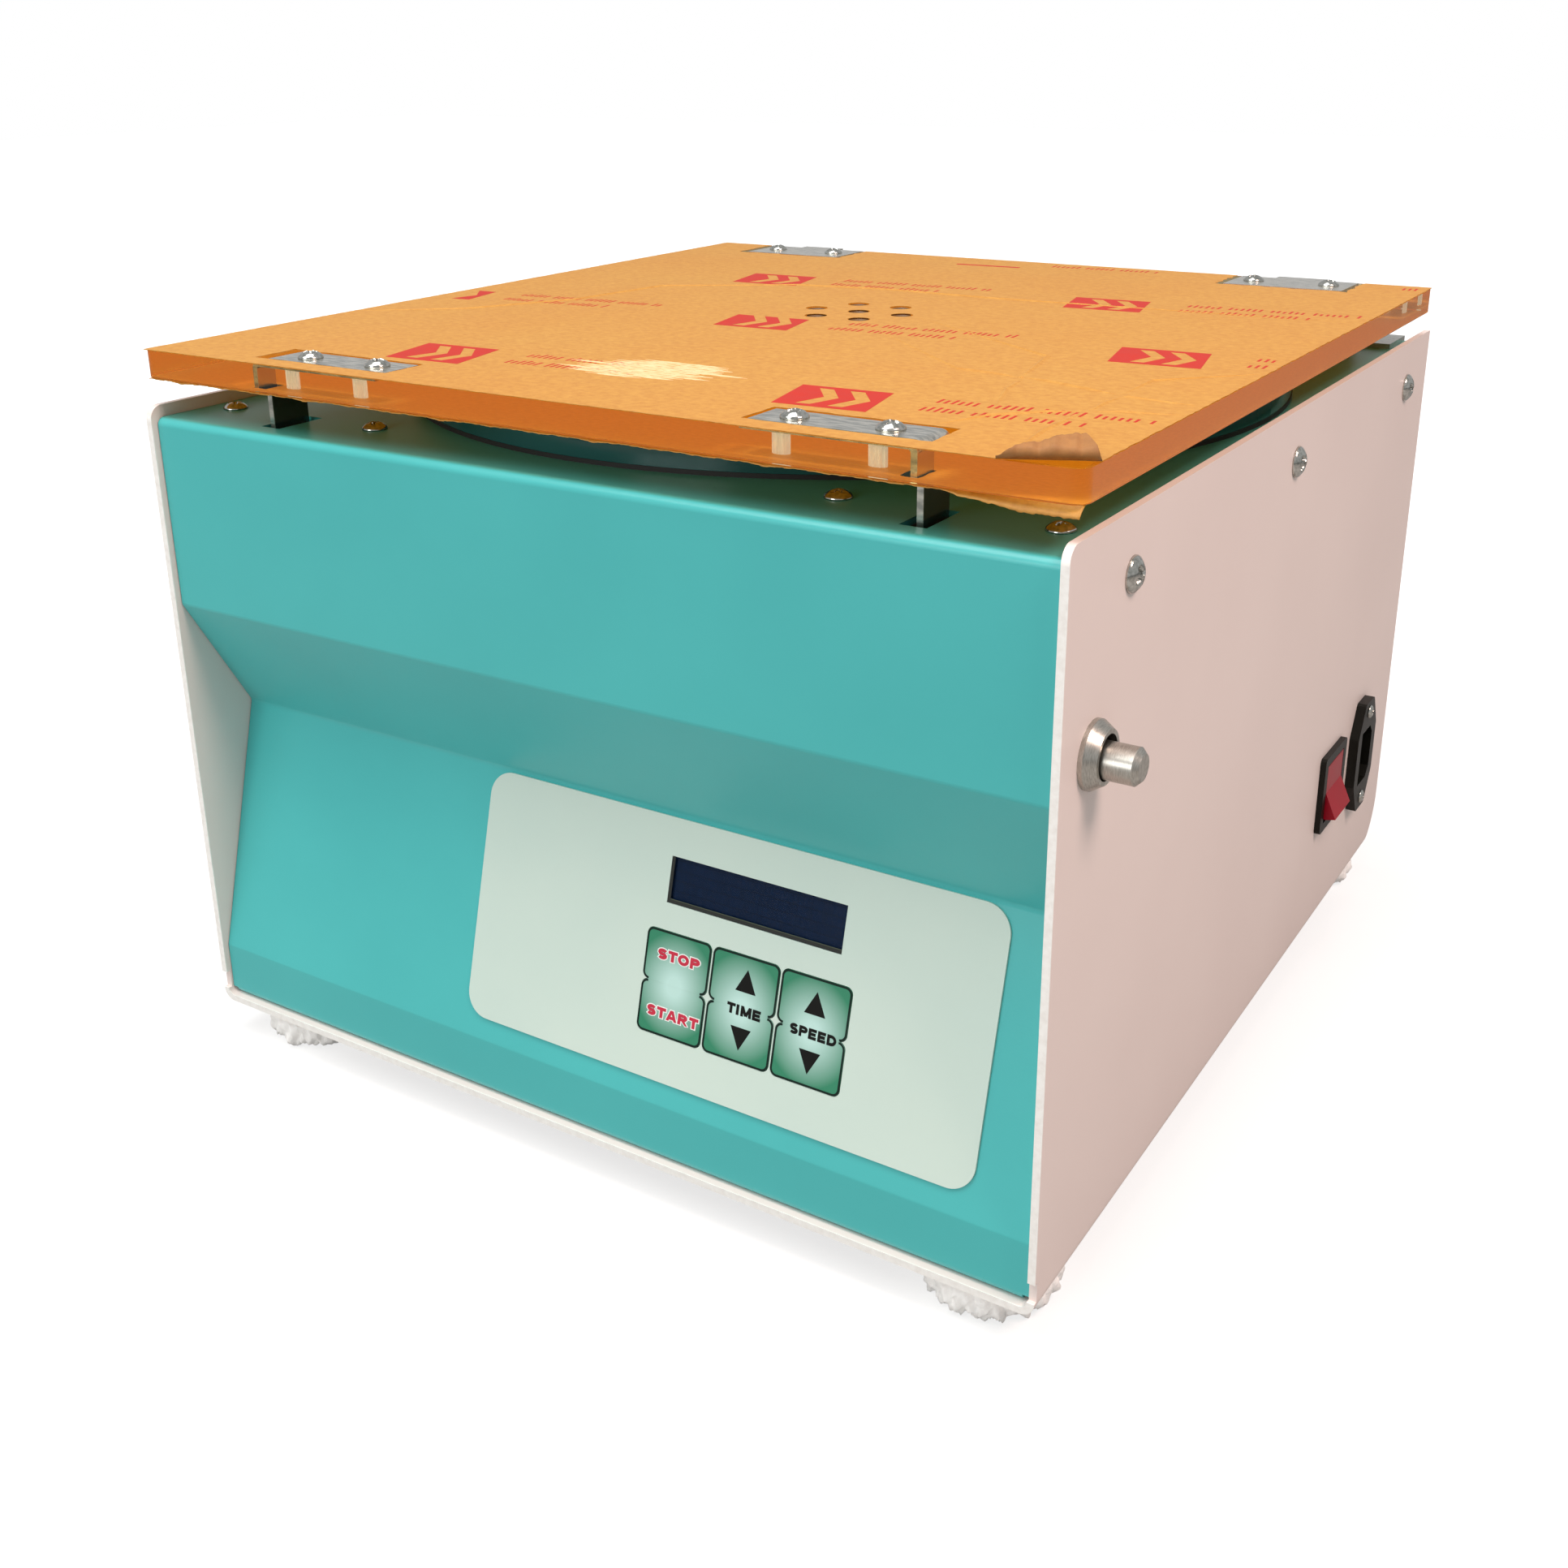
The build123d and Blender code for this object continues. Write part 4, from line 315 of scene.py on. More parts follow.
def metal(name, bright, dull, roughness, grain_mm, stretch, grain_depth=0.01, bare=1.0):
    """A metal whose noise is stretched by stretch along X, Y and Z, so that it reads as turning or rolling
    marks between a bright and a dull colour; bare is 1 for clean metal and less under a passivated film."""
    material, tree, shader, place = start_material(name)
    drawn = add(tree, "ShaderNodeMapping", None, {"Vector": place, "Scale": stretch})
    marks = add(tree, "ShaderNodeTexNoise", None, {
        "Vector": drawn.outputs["Vector"], "Scale": 1000 / grain_mm, "Detail": 4.0})
    contrast = add(tree, "ShaderNodeMapRange", None, {
        "Value": marks.outputs["Fac"], "From Min": 0.36, "From Max": 0.60})
    tint = add(tree, "ShaderNodeMix", {"data_type": "RGBA"}, {
        "Factor": contrast.outputs["Result"], "A": linear(dull), "B": linear(bright)})
    gloss = add(tree, "ShaderNodeMapRange", None, {
        "Value": marks.outputs["Fac"], "To Min": roughness * 0.7, "To Max": roughness * 1.3})
    bump = add(tree, "ShaderNodeBump", None, {
        "Height": marks.outputs["Fac"], "Strength": 0.5, "Distance": grain_depth * MM})
    feed(shader, {"Metallic": bare, "Base Color": tint.outputs["Result"],
                  "Roughness": gloss.outputs["Result"], "Normal": bump.outputs["Normal"]})
    return material


turned_stainless = metal("stainless_turned_along_x", "#C2C0B8", "#A5A29A", 0.32, 0.5, (4.0, 0.3, 0.3))
drawn_stainless = metal("stainless_drawn_tube", "#C4C1BB", "#B2AFA9", 0.30, 0.6, (1.0, 1.0, 0.2))
rolled_zinc = metal("zinc_plated_sheet", "#D2D1CA", "#B5B6B0", 0.30, 1.2, (0.3, 1.5, 1.5), 0.02, 0.85)
bright_zinc = metal("zinc_plated_screw", "#C9C8C2", "#A6A7A0", 0.15, 1.2, (1.0, 1.0, 1.0))
turned_aluminium = metal("aluminium_turned_about_z", "#C9CBCD", "#BBBDBF", 0.32, 0.7, (0.3, 0.3, 5.0))
dress(turned_stainless, "lock_pin", "lock_collar")
dress(drawn_stainless, "lock_bar", "motor_shaft", "rotor_nut", *[f"sleeve_{i}" for i in range(1, 9)])
dress(rolled_zinc, "hinge_base_left", "hinge_base_right", "hinge_leaf_left", "hinge_leaf_right",
      "lock_guides", "motor_plate")
dress(bright_zinc, "collar_nut", "hinge_pins", "motor_bolts")
dress(turned_aluminium, "rotor_head", "rotor_plate", "rotor_hub")
print("five metals")

# %% [markdown]
# ## Bright brackets in their slots
# The two bent brackets are plated brighter than the hinges, with coarse streaks. Each tongue runs down
# through a slot in the lid and on into the dark under it, where there is little to mirror. A ramp along Z
# gives each stretch its own shade: dark below the lid, clean inside the slot, and nothing on the plate. The
# front edge faces the lamps and stays bright, so a mask on Y spares it.

# %% Plated brackets
bright_sheet = metal("zinc_plated_bracket", "#D6D4CA", "#9DA09A", 0.20, 1.9, (0.3, 1.2, 1.2), 0.05, 0.88)
tree, shader, place, xyz, streaked = reopen(bright_sheet)
tongue_h = latch_high.z - latch_low.z
height = add(tree, "ShaderNodeMapRange", None, {
    "Value": xyz["Z"], "From Min": latch_low.z, "From Max": latch_high.z})
slot_low, slot_high = ((z - latch_low.z) / tongue_h for z in (lid_low.z, lid_high.z - 3 * MM))
depth_shade = add(tree, "ShaderNodeValToRGB", {
    "stops": [(0, linear("#5F615B")), (slot_low, linear("#D6D3CA")), (slot_high, (0, 0, 0, 0))]},
    {"Fac": height.outputs["Result"]})
depth_shade.color_ramp.interpolation = "CONSTANT"
behind = add(tree, "ShaderNodeMath", {"operation": "GREATER_THAN"}, {0: xyz["Y"], 1: latch_low.y + 0.3 * MM})
share = add(tree, "ShaderNodeMath", {"operation": "MULTIPLY"}, {
    0: depth_shade.outputs["Alpha"], 1: behind.outputs[0]})
along_tongue = add(tree, "ShaderNodeMix", {"data_type": "RGBA"}, {
    "Factor": share.outputs[0], "A": streaked, "B": depth_shade.outputs["Color"]})
feed(shader, {"Base Color": along_tongue.outputs["Result"]})
dress(bright_sheet, "latch_bracket_left", "latch_bracket_right")
print("tongues of", round(tongue_h / MM, 1), "mm, shaded below", round(lid_low.z / MM, 1), "mm")

# %% [markdown]
# ## Enamelled bowl, rubber, boards and moulded black parts
# The bowl wears the same teal as a wet gloss enamel, smoother than the powder and painted darker, a painted
# shade from the lid above it. Rubber and moulded plastic are dark, with a fine matt grain from the mould.

# %% The remaining skins
# Painted shade: the bowl's teal is darker than the powder's, for the shade under the lid.
bowl_enamel_painted_shade = skin("gloss_enamel_teal", "#1F5E5B", "#184F4E", 80, 2.0, 0.01, 0.14, 0.03)
black_rubber = skin("black_rubber", "#1D1D1C", "#151514", 12, 0.5, 0.03, 0.62)
moulded_black = skin("moulded_black_plastic", "#14150F", "#0D0E0A", 15, 0.4, 0.02, 0.38,
                     Specular_IOR_Level=0.2)
motor_paint = skin("black_motor_paint", "#262729", "#1C1D1F", 25, 0.8, 0.03, 0.45)
circuit_board = skin("glass_fibre_circuit_board", "#1D5A33", "#164A29", 8, 0.3, 0.01, 0.40)
red_rocker = skin("red_moulded_rocker", "#A50F27", "#900B1F", 12, 0.6, 0.008, 0.30, Specular_IOR_Level=0.2)
dress(bowl_enamel_painted_shade, "bowl")
dress(black_rubber, "bowl_gasket", "lid_seal", "shaft_seal", "feet", "motor_isolators", "foot_wraps")
dress(moulded_black, "rocker_bezel", "power_inlet", "lid_switch")
dress(motor_paint, "motor_body")
dress(circuit_board, "keypad_board", "power_board")
dress(red_rocker, "rocker")
print("six skins")

# %% [markdown]
# ## The lid: cast acrylic
# The sheet is clear, but both faces still wear brown masking paper. Daylight soaking through the paper is
# painted: the paper's faces against the sheet glow amber, and the refraction is tinted amber too. That light
# fills the sheet and leaves at the sawn edges, where screws and brackets show, bent by refraction.
# So the sawn edges refract with acrylic's index of 1.49. The covered faces are see-through, because
# the paper is stuck to them and no air bends the light there. The saw left marks across the edge.

# %% Acrylic
acrylic, tree, shader, place = start_material("cast_acrylic_sawn_edge")
sawn = add(tree, "ShaderNodeMapping", None, {"Vector": place, "Scale": (1.0, 1.0, 0.06)})
saw_marks = add(tree, "ShaderNodeTexNoise", None, {
    "Vector": sawn.outputs["Vector"], "Scale": 1000 / 1.6, "Detail": 5.0})
saw_bump = add(tree, "ShaderNodeBump", None, {
    "Height": saw_marks.outputs["Fac"], "Strength": 0.3, "Distance": 0.02 * MM})
from_middle = add(tree, "ShaderNodeVectorMath", {"operation": "SUBTRACT"}, {
    0: place, 1: (lid_low + lid_high) / 2})
away = add(tree, "ShaderNodeVectorMath", {"operation": "ABSOLUTE"}, {0: from_middle.outputs[0]})
xyz = add(tree, "ShaderNodeSeparateXYZ", None, {"Vector": away.outputs[0]})
SAWN_SKIN = 1.5 * MM
at_sides, at_ends = (add(tree, "ShaderNodeMath", {"operation": "GREATER_THAN"}, {
    0: xyz.outputs[axis], 1: (lid_high - lid_low)[axis] / 2 - SAWN_SKIN}) for axis in (0, 1))
sawn_edge = add(tree, "ShaderNodeMath", {"operation": "MAXIMUM"}, {
    0: at_sides.outputs[0], 1: at_ends.outputs[0]})
# Painted light: the amber base colour tints what the sawn edges refract, with the colour of the light from
# the paper.
feed(shader, {"Alpha": sawn_edge.outputs[0], "Normal": saw_bump.outputs["Normal"],
              "Base Color": linear("#F8DA8C"), "Specular IOR Level": 0.1, "Transmission Weight": 1.0,
              "Roughness": 0.03, "IOR": 1.49})
dress(acrylic, "lid_sheet")
print("edge", round((lid_high.z - lid_low.z) / MM, 1), "mm thick")

# %% [markdown]
# ## Drilled holes
# A drill leaves acrylic frosted, in pale streaks. Round the screws the frosted walls are given a pale glow,
# a painted glow for the light that reaches them from the sawn edge. The vent holes lie in the middle of the
# sheet under open paper, so their walls get a dark brown, painted shade.

# %% Frosted and shaded walls
frosted_and_painted_glow, tree, shader, place = start_material("drilled_acrylic_frosted")
drawn = add(tree, "ShaderNodeMapping", None, {"Vector": place, "Scale": (1.0, 1.0, 0.12)})
streaks = add(tree, "ShaderNodeTexNoise", None, {
    "Vector": drawn.outputs["Vector"], "Scale": 1000 / 1.5, "Detail": 3.0})
cover = add(tree, "ShaderNodeMapRange", None, {
    "Value": streaks.outputs["Fac"], "From Min": 0.35, "From Max": 0.6, "To Min": 0.5, "To Max": 1.0})
# Painted glow: a pale bluish emission lights the frosted walls.
feed(shader, {"Alpha": cover.outputs["Result"], "Base Color": linear("#E6DDD0"), "Roughness": 0.5,
              "Emission Color": linear("#D6DCE6"), "Emission Strength": 0.5})
# Painted shade: the vent walls are a dark brown.
vent_walls_painted_shade = skin("drilled_acrylic_in_shade", "#6B4A1E", "#553814", 3, 1.0, 0.02, 0.5)
print("streaks of 1.5 mm down each screw hole")

# %% [markdown]
# ## Turning arrays into pieces
# Every new shape below is a grid of points worked out with numpy, or an outline filled with triangles. Two
# helpers put the arrays into a mesh: one lists the quads of a grid, the other builds the object, merges the
# points that meet at poles and seams and turns the faces outwards.

# %% Grid and piece helpers


def grid_faces(rows, columns, first=0, closed=True):
    """Quads between neighbouring rows and columns of a grid; if closed, the last column joins the first."""
    runs = columns if closed else columns - 1
    row, column = np.meshgrid(np.arange(rows - 1), np.arange(runs), indexing="ij")
    following = (column + 1) % columns
    corners = [row * columns + column, row * columns + following,
               (row + 1) * columns + following, (row + 1) * columns + column]
    return first + np.stack(corners, axis=-1).reshape(-1, 4)


def make_piece(name, points, faces, material, body, smooth=True, outwards=True):
    """A mesh object from an array of points and its faces, riding on a body."""
    mesh = bpy.data.meshes.new(name)
    mesh.from_pydata(np.asarray(points).reshape(-1, 3).tolist(), [], [tuple(map(int, f)) for f in faces])
    if outwards:
        shape = bmesh.new()
        shape.from_mesh(mesh)
        bmesh.ops.remove_doubles(shape, verts=shape.verts, dist=1e-7)
        bmesh.ops.recalc_face_normals(shape, faces=shape.faces)
        shape.to_mesh(mesh)
        shape.free()
    mesh.polygons.foreach_set("use_smooth", np.full(len(mesh.polygons), smooth))
    mesh.materials.append(material)
    piece = bpy.data.objects.new(name, mesh)
    bpy.context.scene.collection.objects.link(piece)
    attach(piece, body)
    return piece


def ragged(along, reach, length, seed):
    """An uneven line: six sine waves, each half as long and 0.7 times as high as the one before."""
    chance = np.random.default_rng(seed)
    level = sum(0.7 ** wave * np.sin(2 * np.pi * (along * 2 ** wave / length + chance.random()))
                for wave in range(6))
    return reach * level / 3


print("a 4 by 6 grid has", len(grid_faces(4, 6)), "quads")

# %% [markdown]
# ## Cross-recess screws
# A machine screw here is a low dome with a cross pressed into it and a thread below. The head is a polar
# grid whose height falls inside the cross, and the thread is a wave on the shank's radius. All the screws
# of one kind are one piece, because they are alike and none of them moves by itself.

# %% A screw as one closed grid
SIDES = 40


def screw_points(head_r, head_h, shank_r, length, pitch):
    """Rows of points from the crown to the tip. The crown falls with the radius to the power 2.4, less the
    depth of two crossed bars with smooth walls; the shank's radius swings with a triangle wave of the
    thread's pitch."""
    angle = np.linspace(0, 2 * np.pi, SIDES, endpoint=False)
    radius = np.concatenate([[0], np.linspace(0.06, 0.96, 16)]) * head_r
    r, a = np.meshgrid(radius, angle, indexing="ij")
    x, y = r * np.cos(a), r * np.sin(a)
    dome = head_h * (1 - 0.75 * (r / head_r) ** 2.4)
    wide, reach, soft = 0.13 * head_r, 0.55 * head_r, 0.07 * head_r

    def bar(across, along):
        side = np.clip((wide - np.abs(across)) / soft + 0.5, 0, 1)
        end = np.clip((reach - np.abs(along)) / soft + 0.5, 0, 1)
        return side * end
    height = dome - 0.62 * head_h * np.maximum(bar(x, y), bar(y, x))
    head = np.stack([x, y, height], axis=-1)
    turns = int(length / pitch)
    level = np.linspace(0, -length, 4 * turns + 1)
    swing = np.abs((np.arange(4 * turns + 1) / 2) % 2 - 1)
    lower_r = np.concatenate([[head_r, head_r], shank_r * (1 - 0.14 * swing), [0]])
    lower_z = np.concatenate([[0.16 * head_h, 0], level, [-length - 0.2 * shank_r]])
    rr, aa = np.meshgrid(lower_r, angle, indexing="ij")
    lower = np.stack([rr * np.cos(aa), rr * np.sin(aa), np.repeat(lower_z[:, None], SIDES, 1)], axis=-1)
    return np.concatenate([head, lower])


def screw_group(name, places, outward, size, body, replaced=None):
    """Copies one screw to each place, its axis along outward and its cross turned by another 1.9 radians."""
    shape = screw_points(*[v * MM for v in size])
    out = np.array(outward, float)
    side = np.cross(out, [0.0, 1.0, 0.0] if abs(out[1]) < 0.9 else [1.0, 0.0, 0.0])
    side /= np.linalg.norm(side)
    other = np.cross(out, side)
    points, faces = [], []
    for number, place in enumerate(places):
        turn = 0.5 + 1.9 * number
        x = shape[..., 0] * np.cos(turn) - shape[..., 1] * np.sin(turn)
        y = shape[..., 0] * np.sin(turn) + shape[..., 1] * np.cos(turn)
        spun = x[..., None] * side + y[..., None] * other + shape[..., 2, None] * out
        points.append(np.array(place) * MM + spun)
        faces.append(grid_faces(len(shape), SIDES, number * len(shape) * SIDES))
    piece = make_piece(name, np.concatenate(points), np.concatenate(faces), bright_zinc, body)
    if replaced:
        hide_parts(replaced)


print(SIDES, "points round each screw")

# %% Screws of the lid
LID_TOP = lid_high.z / MM
LATCH_SCREWS_X, LATCH_Y = (81, 112), (latch_low.y + latch_high.y) / 2 / MM
HINGE_LID_SCREWS_X, HINGE_LID_Y = (105, 137), leaf_low.y / MM + 13.5
# head radius, head height, shank radius, length and pitch
M5 = (4.3, 2.5, 2.5, 7.5, 0.9)
lid_rows = [(s * x, LATCH_Y, LID_TOP) for s in (-1, 1) for x in LATCH_SCREWS_X]
lid_rows += [(s * x, HINGE_LID_Y, LID_TOP) for s in (-1, 1) for x in HINGE_LID_SCREWS_X]
screw_group("lid_screws_recessed", lid_rows, (0, 0, 1), M5, "lid", "lid_screws")
print(len(lid_rows), "screws in the lid")

# %% [markdown]
# ## Walls of the holes
# A drilled wall is a surface of its own, so each hole gets a thin closed lining: a ring whose section is a
# strip between two radii. It stops short of both faces of the sheet, where the paper is.

# %% Linings of screw and vent holes
VENT_Y, VENT_CIRCLE_R = 8, 19
VENTS = [(0, VENT_Y)] + [(VENT_CIRCLE_R * np.cos(a), VENT_Y + VENT_CIRCLE_R * np.sin(a))
                         for a in np.linspace(0, 2 * np.pi, 6, endpoint=False)]


def hole_linings(name, places, outer, inner, material):
    """A lining in each place: the section's corners, closed, turned once round the hole's axis."""
    angle = np.linspace(0, 2 * np.pi, SIDES, endpoint=False)
    wall_r = np.array([outer, outer, inner, inner, outer])[:, None] * MM
    low = np.array([0, 1, 1, 0, 0])[:, None]
    wall_z = np.where(low, lid_high.z - 0.3 * MM, lid_low.z + 0.4 * MM)
    walls = [np.stack([x * MM + wall_r * np.cos(angle), y * MM + wall_r * np.sin(angle),
                       np.broadcast_to(wall_z, (len(low), SIDES))], axis=-1) for x, y, *_ in places]
    faces = [grid_faces(len(low), SIDES, number * len(low) * SIDES) for number in range(len(walls))]
    make_piece(name, np.concatenate(walls), np.concatenate(faces), material, "lid")


hole_linings("drilled_hole_walls", lid_rows, 2.9, 2.6, frosted_and_painted_glow)
hole_linings("vent_hole_walls", VENTS, 3.97, 3.8, vent_walls_painted_shade)
print(len(lid_rows), "screw holes and", len(VENTS), "vent holes")

# %% Screws of the cabinet
DECK, WALL_X = deck_z / MM, case_high.x / MM
DECK_SCREWS_X, DECK_SCREW_Y = (91.5, 160.5), -162.5
HINGE_DECK_SCREWS_X, HINGE_DECK_Y, HINGE_FOOT_T = (105, 141), 172.0, 2.0
FEET, FOOT_SCREW_Z = [(x, y) for x in (-147, 147) for y in (-166, 166)], 9.0
WALL_SCREWS_Y, WALL_SCREW_Z = (-145.6, 5.4, 156.4), 233.0
INLET_Y, INLET_SCREWS_Z = 140.0, (55.5, 95.5)
M5_FOOT, M6, M3 = (4.2, 2.5, 2.4, 7.4, 0.9), (5.5, 3.1, 3.0, 10.0, 1.0), (2.9, 1.6, 1.5, 8.0, 0.5)
deck_rows = [(s * x, DECK_SCREW_Y, DECK) for s in (-1, 1) for x in DECK_SCREWS_X]
deck_rows += [(s * x, HINGE_DECK_Y, DECK + HINGE_FOOT_T) for s in (-1, 1) for x in HINGE_DECK_SCREWS_X]
foot_rows = [(x, y, FOOT_SCREW_Z) for x, y in FEET]
screw_group("deck_screws", deck_rows, (0, 0, 1), M5, "cabinet")
screw_group("foot_screws", foot_rows, (0, 0, -1), M5_FOOT, "cabinet", "small_screws")
for side, label in ((1, "right"), (-1, "left")):
    rows = [(side * WALL_X, y, WALL_SCREW_Z) for y in WALL_SCREWS_Y]
    screw_group(f"side_screws_{label}", rows, (side, 0, 0), M6, "cabinet", "side_screws")
inlet_rows = [(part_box("power_inlet")[1].x / MM, INLET_Y, z) for z in INLET_SCREWS_Z]
screw_group("inlet_screws_recessed", inlet_rows, (1, 0, 0), M3, "cabinet", "inlet_screws")
print(len(deck_rows + foot_rows + inlet_rows) + 2 * len(WALL_SCREWS_Y), "screws in the cabinet")

# %% [markdown]
# ## Masking paper
# Kraft paper on a weak adhesive protects both faces of the sheet. It has been cut out round the brackets
# and torn at one corner. Its outline and holes go through a constrained triangulation, which
# keeps each edge as drawn; triangles inside a hole are dropped, and Solidify gives the paper its thickness.

# %% Kraft paper


def kraft_paper(name, painted_glow):
    """Brown paper with fibre clumps, clouds and cockles; the last argument is the strength of a painted glow,
    an amber emission that stands in for daylight soaking through."""
    material, tree, shader, place = start_material(name)
    drawn = add(tree, "ShaderNodeMapping", None, {"Vector": place, "Scale": (0.8, 1.1, 1.0)})
    fibres = add(tree, "ShaderNodeTexNoise", None, {
        "Vector": drawn.outputs["Vector"], "Scale": 1000 / 2.2, "Detail": 8.0, "Roughness": 0.7})
    clouds = add(tree, "ShaderNodeTexNoise", None, {"Vector": place, "Scale": 1000 / 70, "Detail": 3.0})
    fibre_tint = add(tree, "ShaderNodeValToRGB", {
        "stops": [(0.3, linear("#B07A2A")), (0.72, linear("#C89842"))]}, {"Fac": fibres.outputs["Fac"]})
    cloud_tint = add(tree, "ShaderNodeMix", {"data_type": "RGBA", "blend_type": "MULTIPLY"}, {
        "Factor": clouds.outputs["Fac"], "A": fibre_tint.outputs["Color"], "B": linear("#FCEEDA")})
    cockle = add(tree, "ShaderNodeBump", None, {
        "Height": clouds.outputs["Fac"], "Strength": 0.5, "Distance": 1.2 * MM})
    fuzz = add(tree, "ShaderNodeBump", None, {
        "Height": fibres.outputs["Fac"], "Strength": 0.5, "Distance": 0.06 * MM,
        "Normal": cockle.outputs["Normal"]})
    feed(shader, {"Base Color": cloud_tint.outputs["Result"], "Normal": fuzz.outputs["Normal"],
                  "Roughness": 0.55, "Emission Color": linear("#A86A10"), "Emission Strength": painted_glow})
    return material


# Painted glow: the paper faces against the sheet, and more faintly the bottom paper's underside, give off an
# amber light that stands in for daylight soaking through; the outer top face has none.
kraft = kraft_paper("kraft_masking_paper", 0.0)
kraft_painted_glow = kraft_paper("kraft_masking_paper_painted_glow", 0.75)
kraft_underside_painted_glow = kraft_paper("kraft_masking_paper_underside_painted_glow", 0.45)
print("fibre clumps of 2.2 mm")

# %% Cut sheets


def inside(points, polygon):
    """Even-odd rule: counts the polygon's edges that a ray towards +X from each point crosses."""
    x, y = points[:, None, 0], points[:, None, 1]
    x0, y0 = polygon[None, :, 0], polygon[None, :, 1]
    x1, y1 = np.roll(polygon, -1, 0)[None, :, 0], np.roll(polygon, -1, 0)[None, :, 1]
    spans = (y0 > y) != (y1 > y)
    with np.errstate(divide="ignore", invalid="ignore"):
        meets = x0 + (y - y0) / (y1 - y0) * (x1 - x0)
    return (np.count_nonzero(spans & (x < meets), axis=1) % 2) == 1


def along_path(corners, step):
    """Points every step or less along a closed run of corners."""
    corners = np.asarray(corners, float)
    runs = []
    for a, b in zip(corners, np.roll(corners, -1, 0)):
        count = max(1, int(np.linalg.norm(b - a) / step))
        runs.append(a + (b - a) * np.linspace(0, 1, count, endpoint=False)[:, None])
    return np.concatenate(runs)


RIDGE, FOOT_AWAY = 0.45, 1.2


def cut_sheet(outline, holes, creases):
    """Triangles of a flat sheet between its outline and holes, in millimetres. Each crease is a ridge with a
    foot line on each side; elsewhere the sheet is flat."""
    loops = [outline, *holes]
    points = [np.column_stack([loop, np.zeros(len(loop))]) for loop in loops]
    edges, start = [], 0
    for loop in loops:
        index = start + np.arange(len(loop))
        edges += list(zip(index.tolist(), np.roll(index, -1).tolist()))
        start += len(loop)
    for crease in creases:
        line = np.asarray(crease, float)
        run = line[-1] - line[0]
        away = np.array([-run[1], run[0]]) / np.linalg.norm(run) * FOOT_AWAY
        for shift, height in ((0, RIDGE), (1, 0), (-1, 0)):
            points.append(np.column_stack([line + shift * away, np.full(len(line), height)]))
            index = start + np.arange(len(line))
            edges += list(zip(index[:-1].tolist(), index[1:].tolist()))
            start += len(line)
    points = np.concatenate(points)
    flat = [Vector(p[:2]) for p in points]
    made, _, faces, origins, *_ = delaunay_2d_cdt(flat, edges, [], 0, 1e-4)
    height = np.array([points[o[0], 2] if o else 0.0 for o in origins])
    placed = np.column_stack([np.array([tuple(v) for v in made]), height])
    faces = np.array(faces)
    middle = placed[faces].mean(axis=1)[:, :2]
    keep = inside(middle, outline)
    for hole in holes:
        keep &= ~inside(middle, hole)
    return placed, faces[keep]


def circle(x, y, radius, count=28):
    """Points round a circle."""
    a = np.linspace(0, 2 * np.pi, count, endpoint=False)
    return np.column_stack([x + radius * np.cos(a), y + radius * np.sin(a)])


def rough_box(x0, x1, y0, y1, reach, seed):
    """A rectangle cut by hand: its points every 3 mm wander by up to reach."""
    line = along_path([(x0, y0), (x1, y0), (x1, y1), (x0, y1)], 3.0)
    return line + np.random.default_rng(seed).uniform(-reach, reach, line.shape)


def thicken(piece, thickness, offset, back=0):
    """Solidify gives a sheet its thickness, about its middle for offset 0 and under it for -1; back is the
    place of its other face's material."""
    wall = piece.modifiers.new("paper_thickness", "SOLIDIFY")
    wall.thickness, wall.offset, wall.material_offset = thickness * MM, offset, back


print("even-odd test:", inside(np.array([[0.0, 0.0], [9.0, 0.0]]), circle(0, 0, 2)))

# %% The top and bottom papers
EDGE_X, FRONT, REAR = lid_high.x / MM, lid_low.y / MM, lid_high.y / MM
TEAR_START, TEAR_END = (152.0, FRONT + 0.3), (EDGE_X - 0.3, -176.0)
vents = [circle(x, y, 4.3) for x, y in VENTS]
top_outline = along_path([(-EDGE_X + 0.4, FRONT + 0.5), TEAR_START, TEAR_END,
                          (EDGE_X - 0.3, REAR - 0.3), (-EDGE_X + 0.4, REAR - 0.3)], 2.0)
top_outline += np.random.default_rng(4).uniform(-0.22, 0.22, top_outline.shape)
pockets = [rough_box(*sorted((s * 68.6, s * 129.0)), -178.0, -160.2, 0.35, 7 + s) for s in (-1, 1)]
notches = [rough_box(*sorted((s * 93.5, s * 149.0)), 148.5, REAR + 4, 1.0, 17 + s) for s in (-1, 1)]
creases = [
    [(88, -81), (104, -83), (121, -86), (138, -92), (152, -97)],
    [(116, -104), (112, -85), (108, -66), (104, -47)],
    [(149, -150), (149.5, -110), (149, -70)],
    [(128, -140), (140, -128), (158, -118)],
    [(-60, 60), (-20, 66), (30, 64)],
    [(-140, -60), (-118, -20), (-110, 30)],
]
kraft_top, faces = cut_sheet(top_outline, pockets + notches + vents, creases)
kraft_top[:, 2] += LID_TOP + 0.22
paper_top = make_piece("masking_paper_top", kraft_top * MM, faces, kraft, "lid",
                       smooth=False, outwards=False)
paper_top.data.materials.append(kraft_painted_glow)
thicken(paper_top, 0.18, -1, 1)
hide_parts("lid_top_film")

slots = [rough_box(*sorted((s * 121.0, s * 127.2)), -177.4, -160.6, 0.3, 27 + s) for s in (-1, 1)]
under_outline = along_path([(-EDGE_X + 1, FRONT + 3), (EDGE_X - 1, FRONT + 3), (EDGE_X - 1, REAR - 1),
                            (-EDGE_X + 1, REAR - 1)], 4.0)
kraft_under, faces = cut_sheet(under_outline, slots + vents, [])
kraft_under[:, 2] += lid_low.z / MM - 0.02
paper_under = make_piece("masking_paper_bottom", kraft_under * MM, faces, kraft_painted_glow, "lid",
                         smooth=False, outwards=False)
paper_under.data.materials.append(kraft_underside_painted_glow)
thicken(paper_under, 0.18, -1, 1)
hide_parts("lid_bottom_film")
print(len(paper_top.data.polygons), "and", len(paper_under.data.polygons), "triangles")
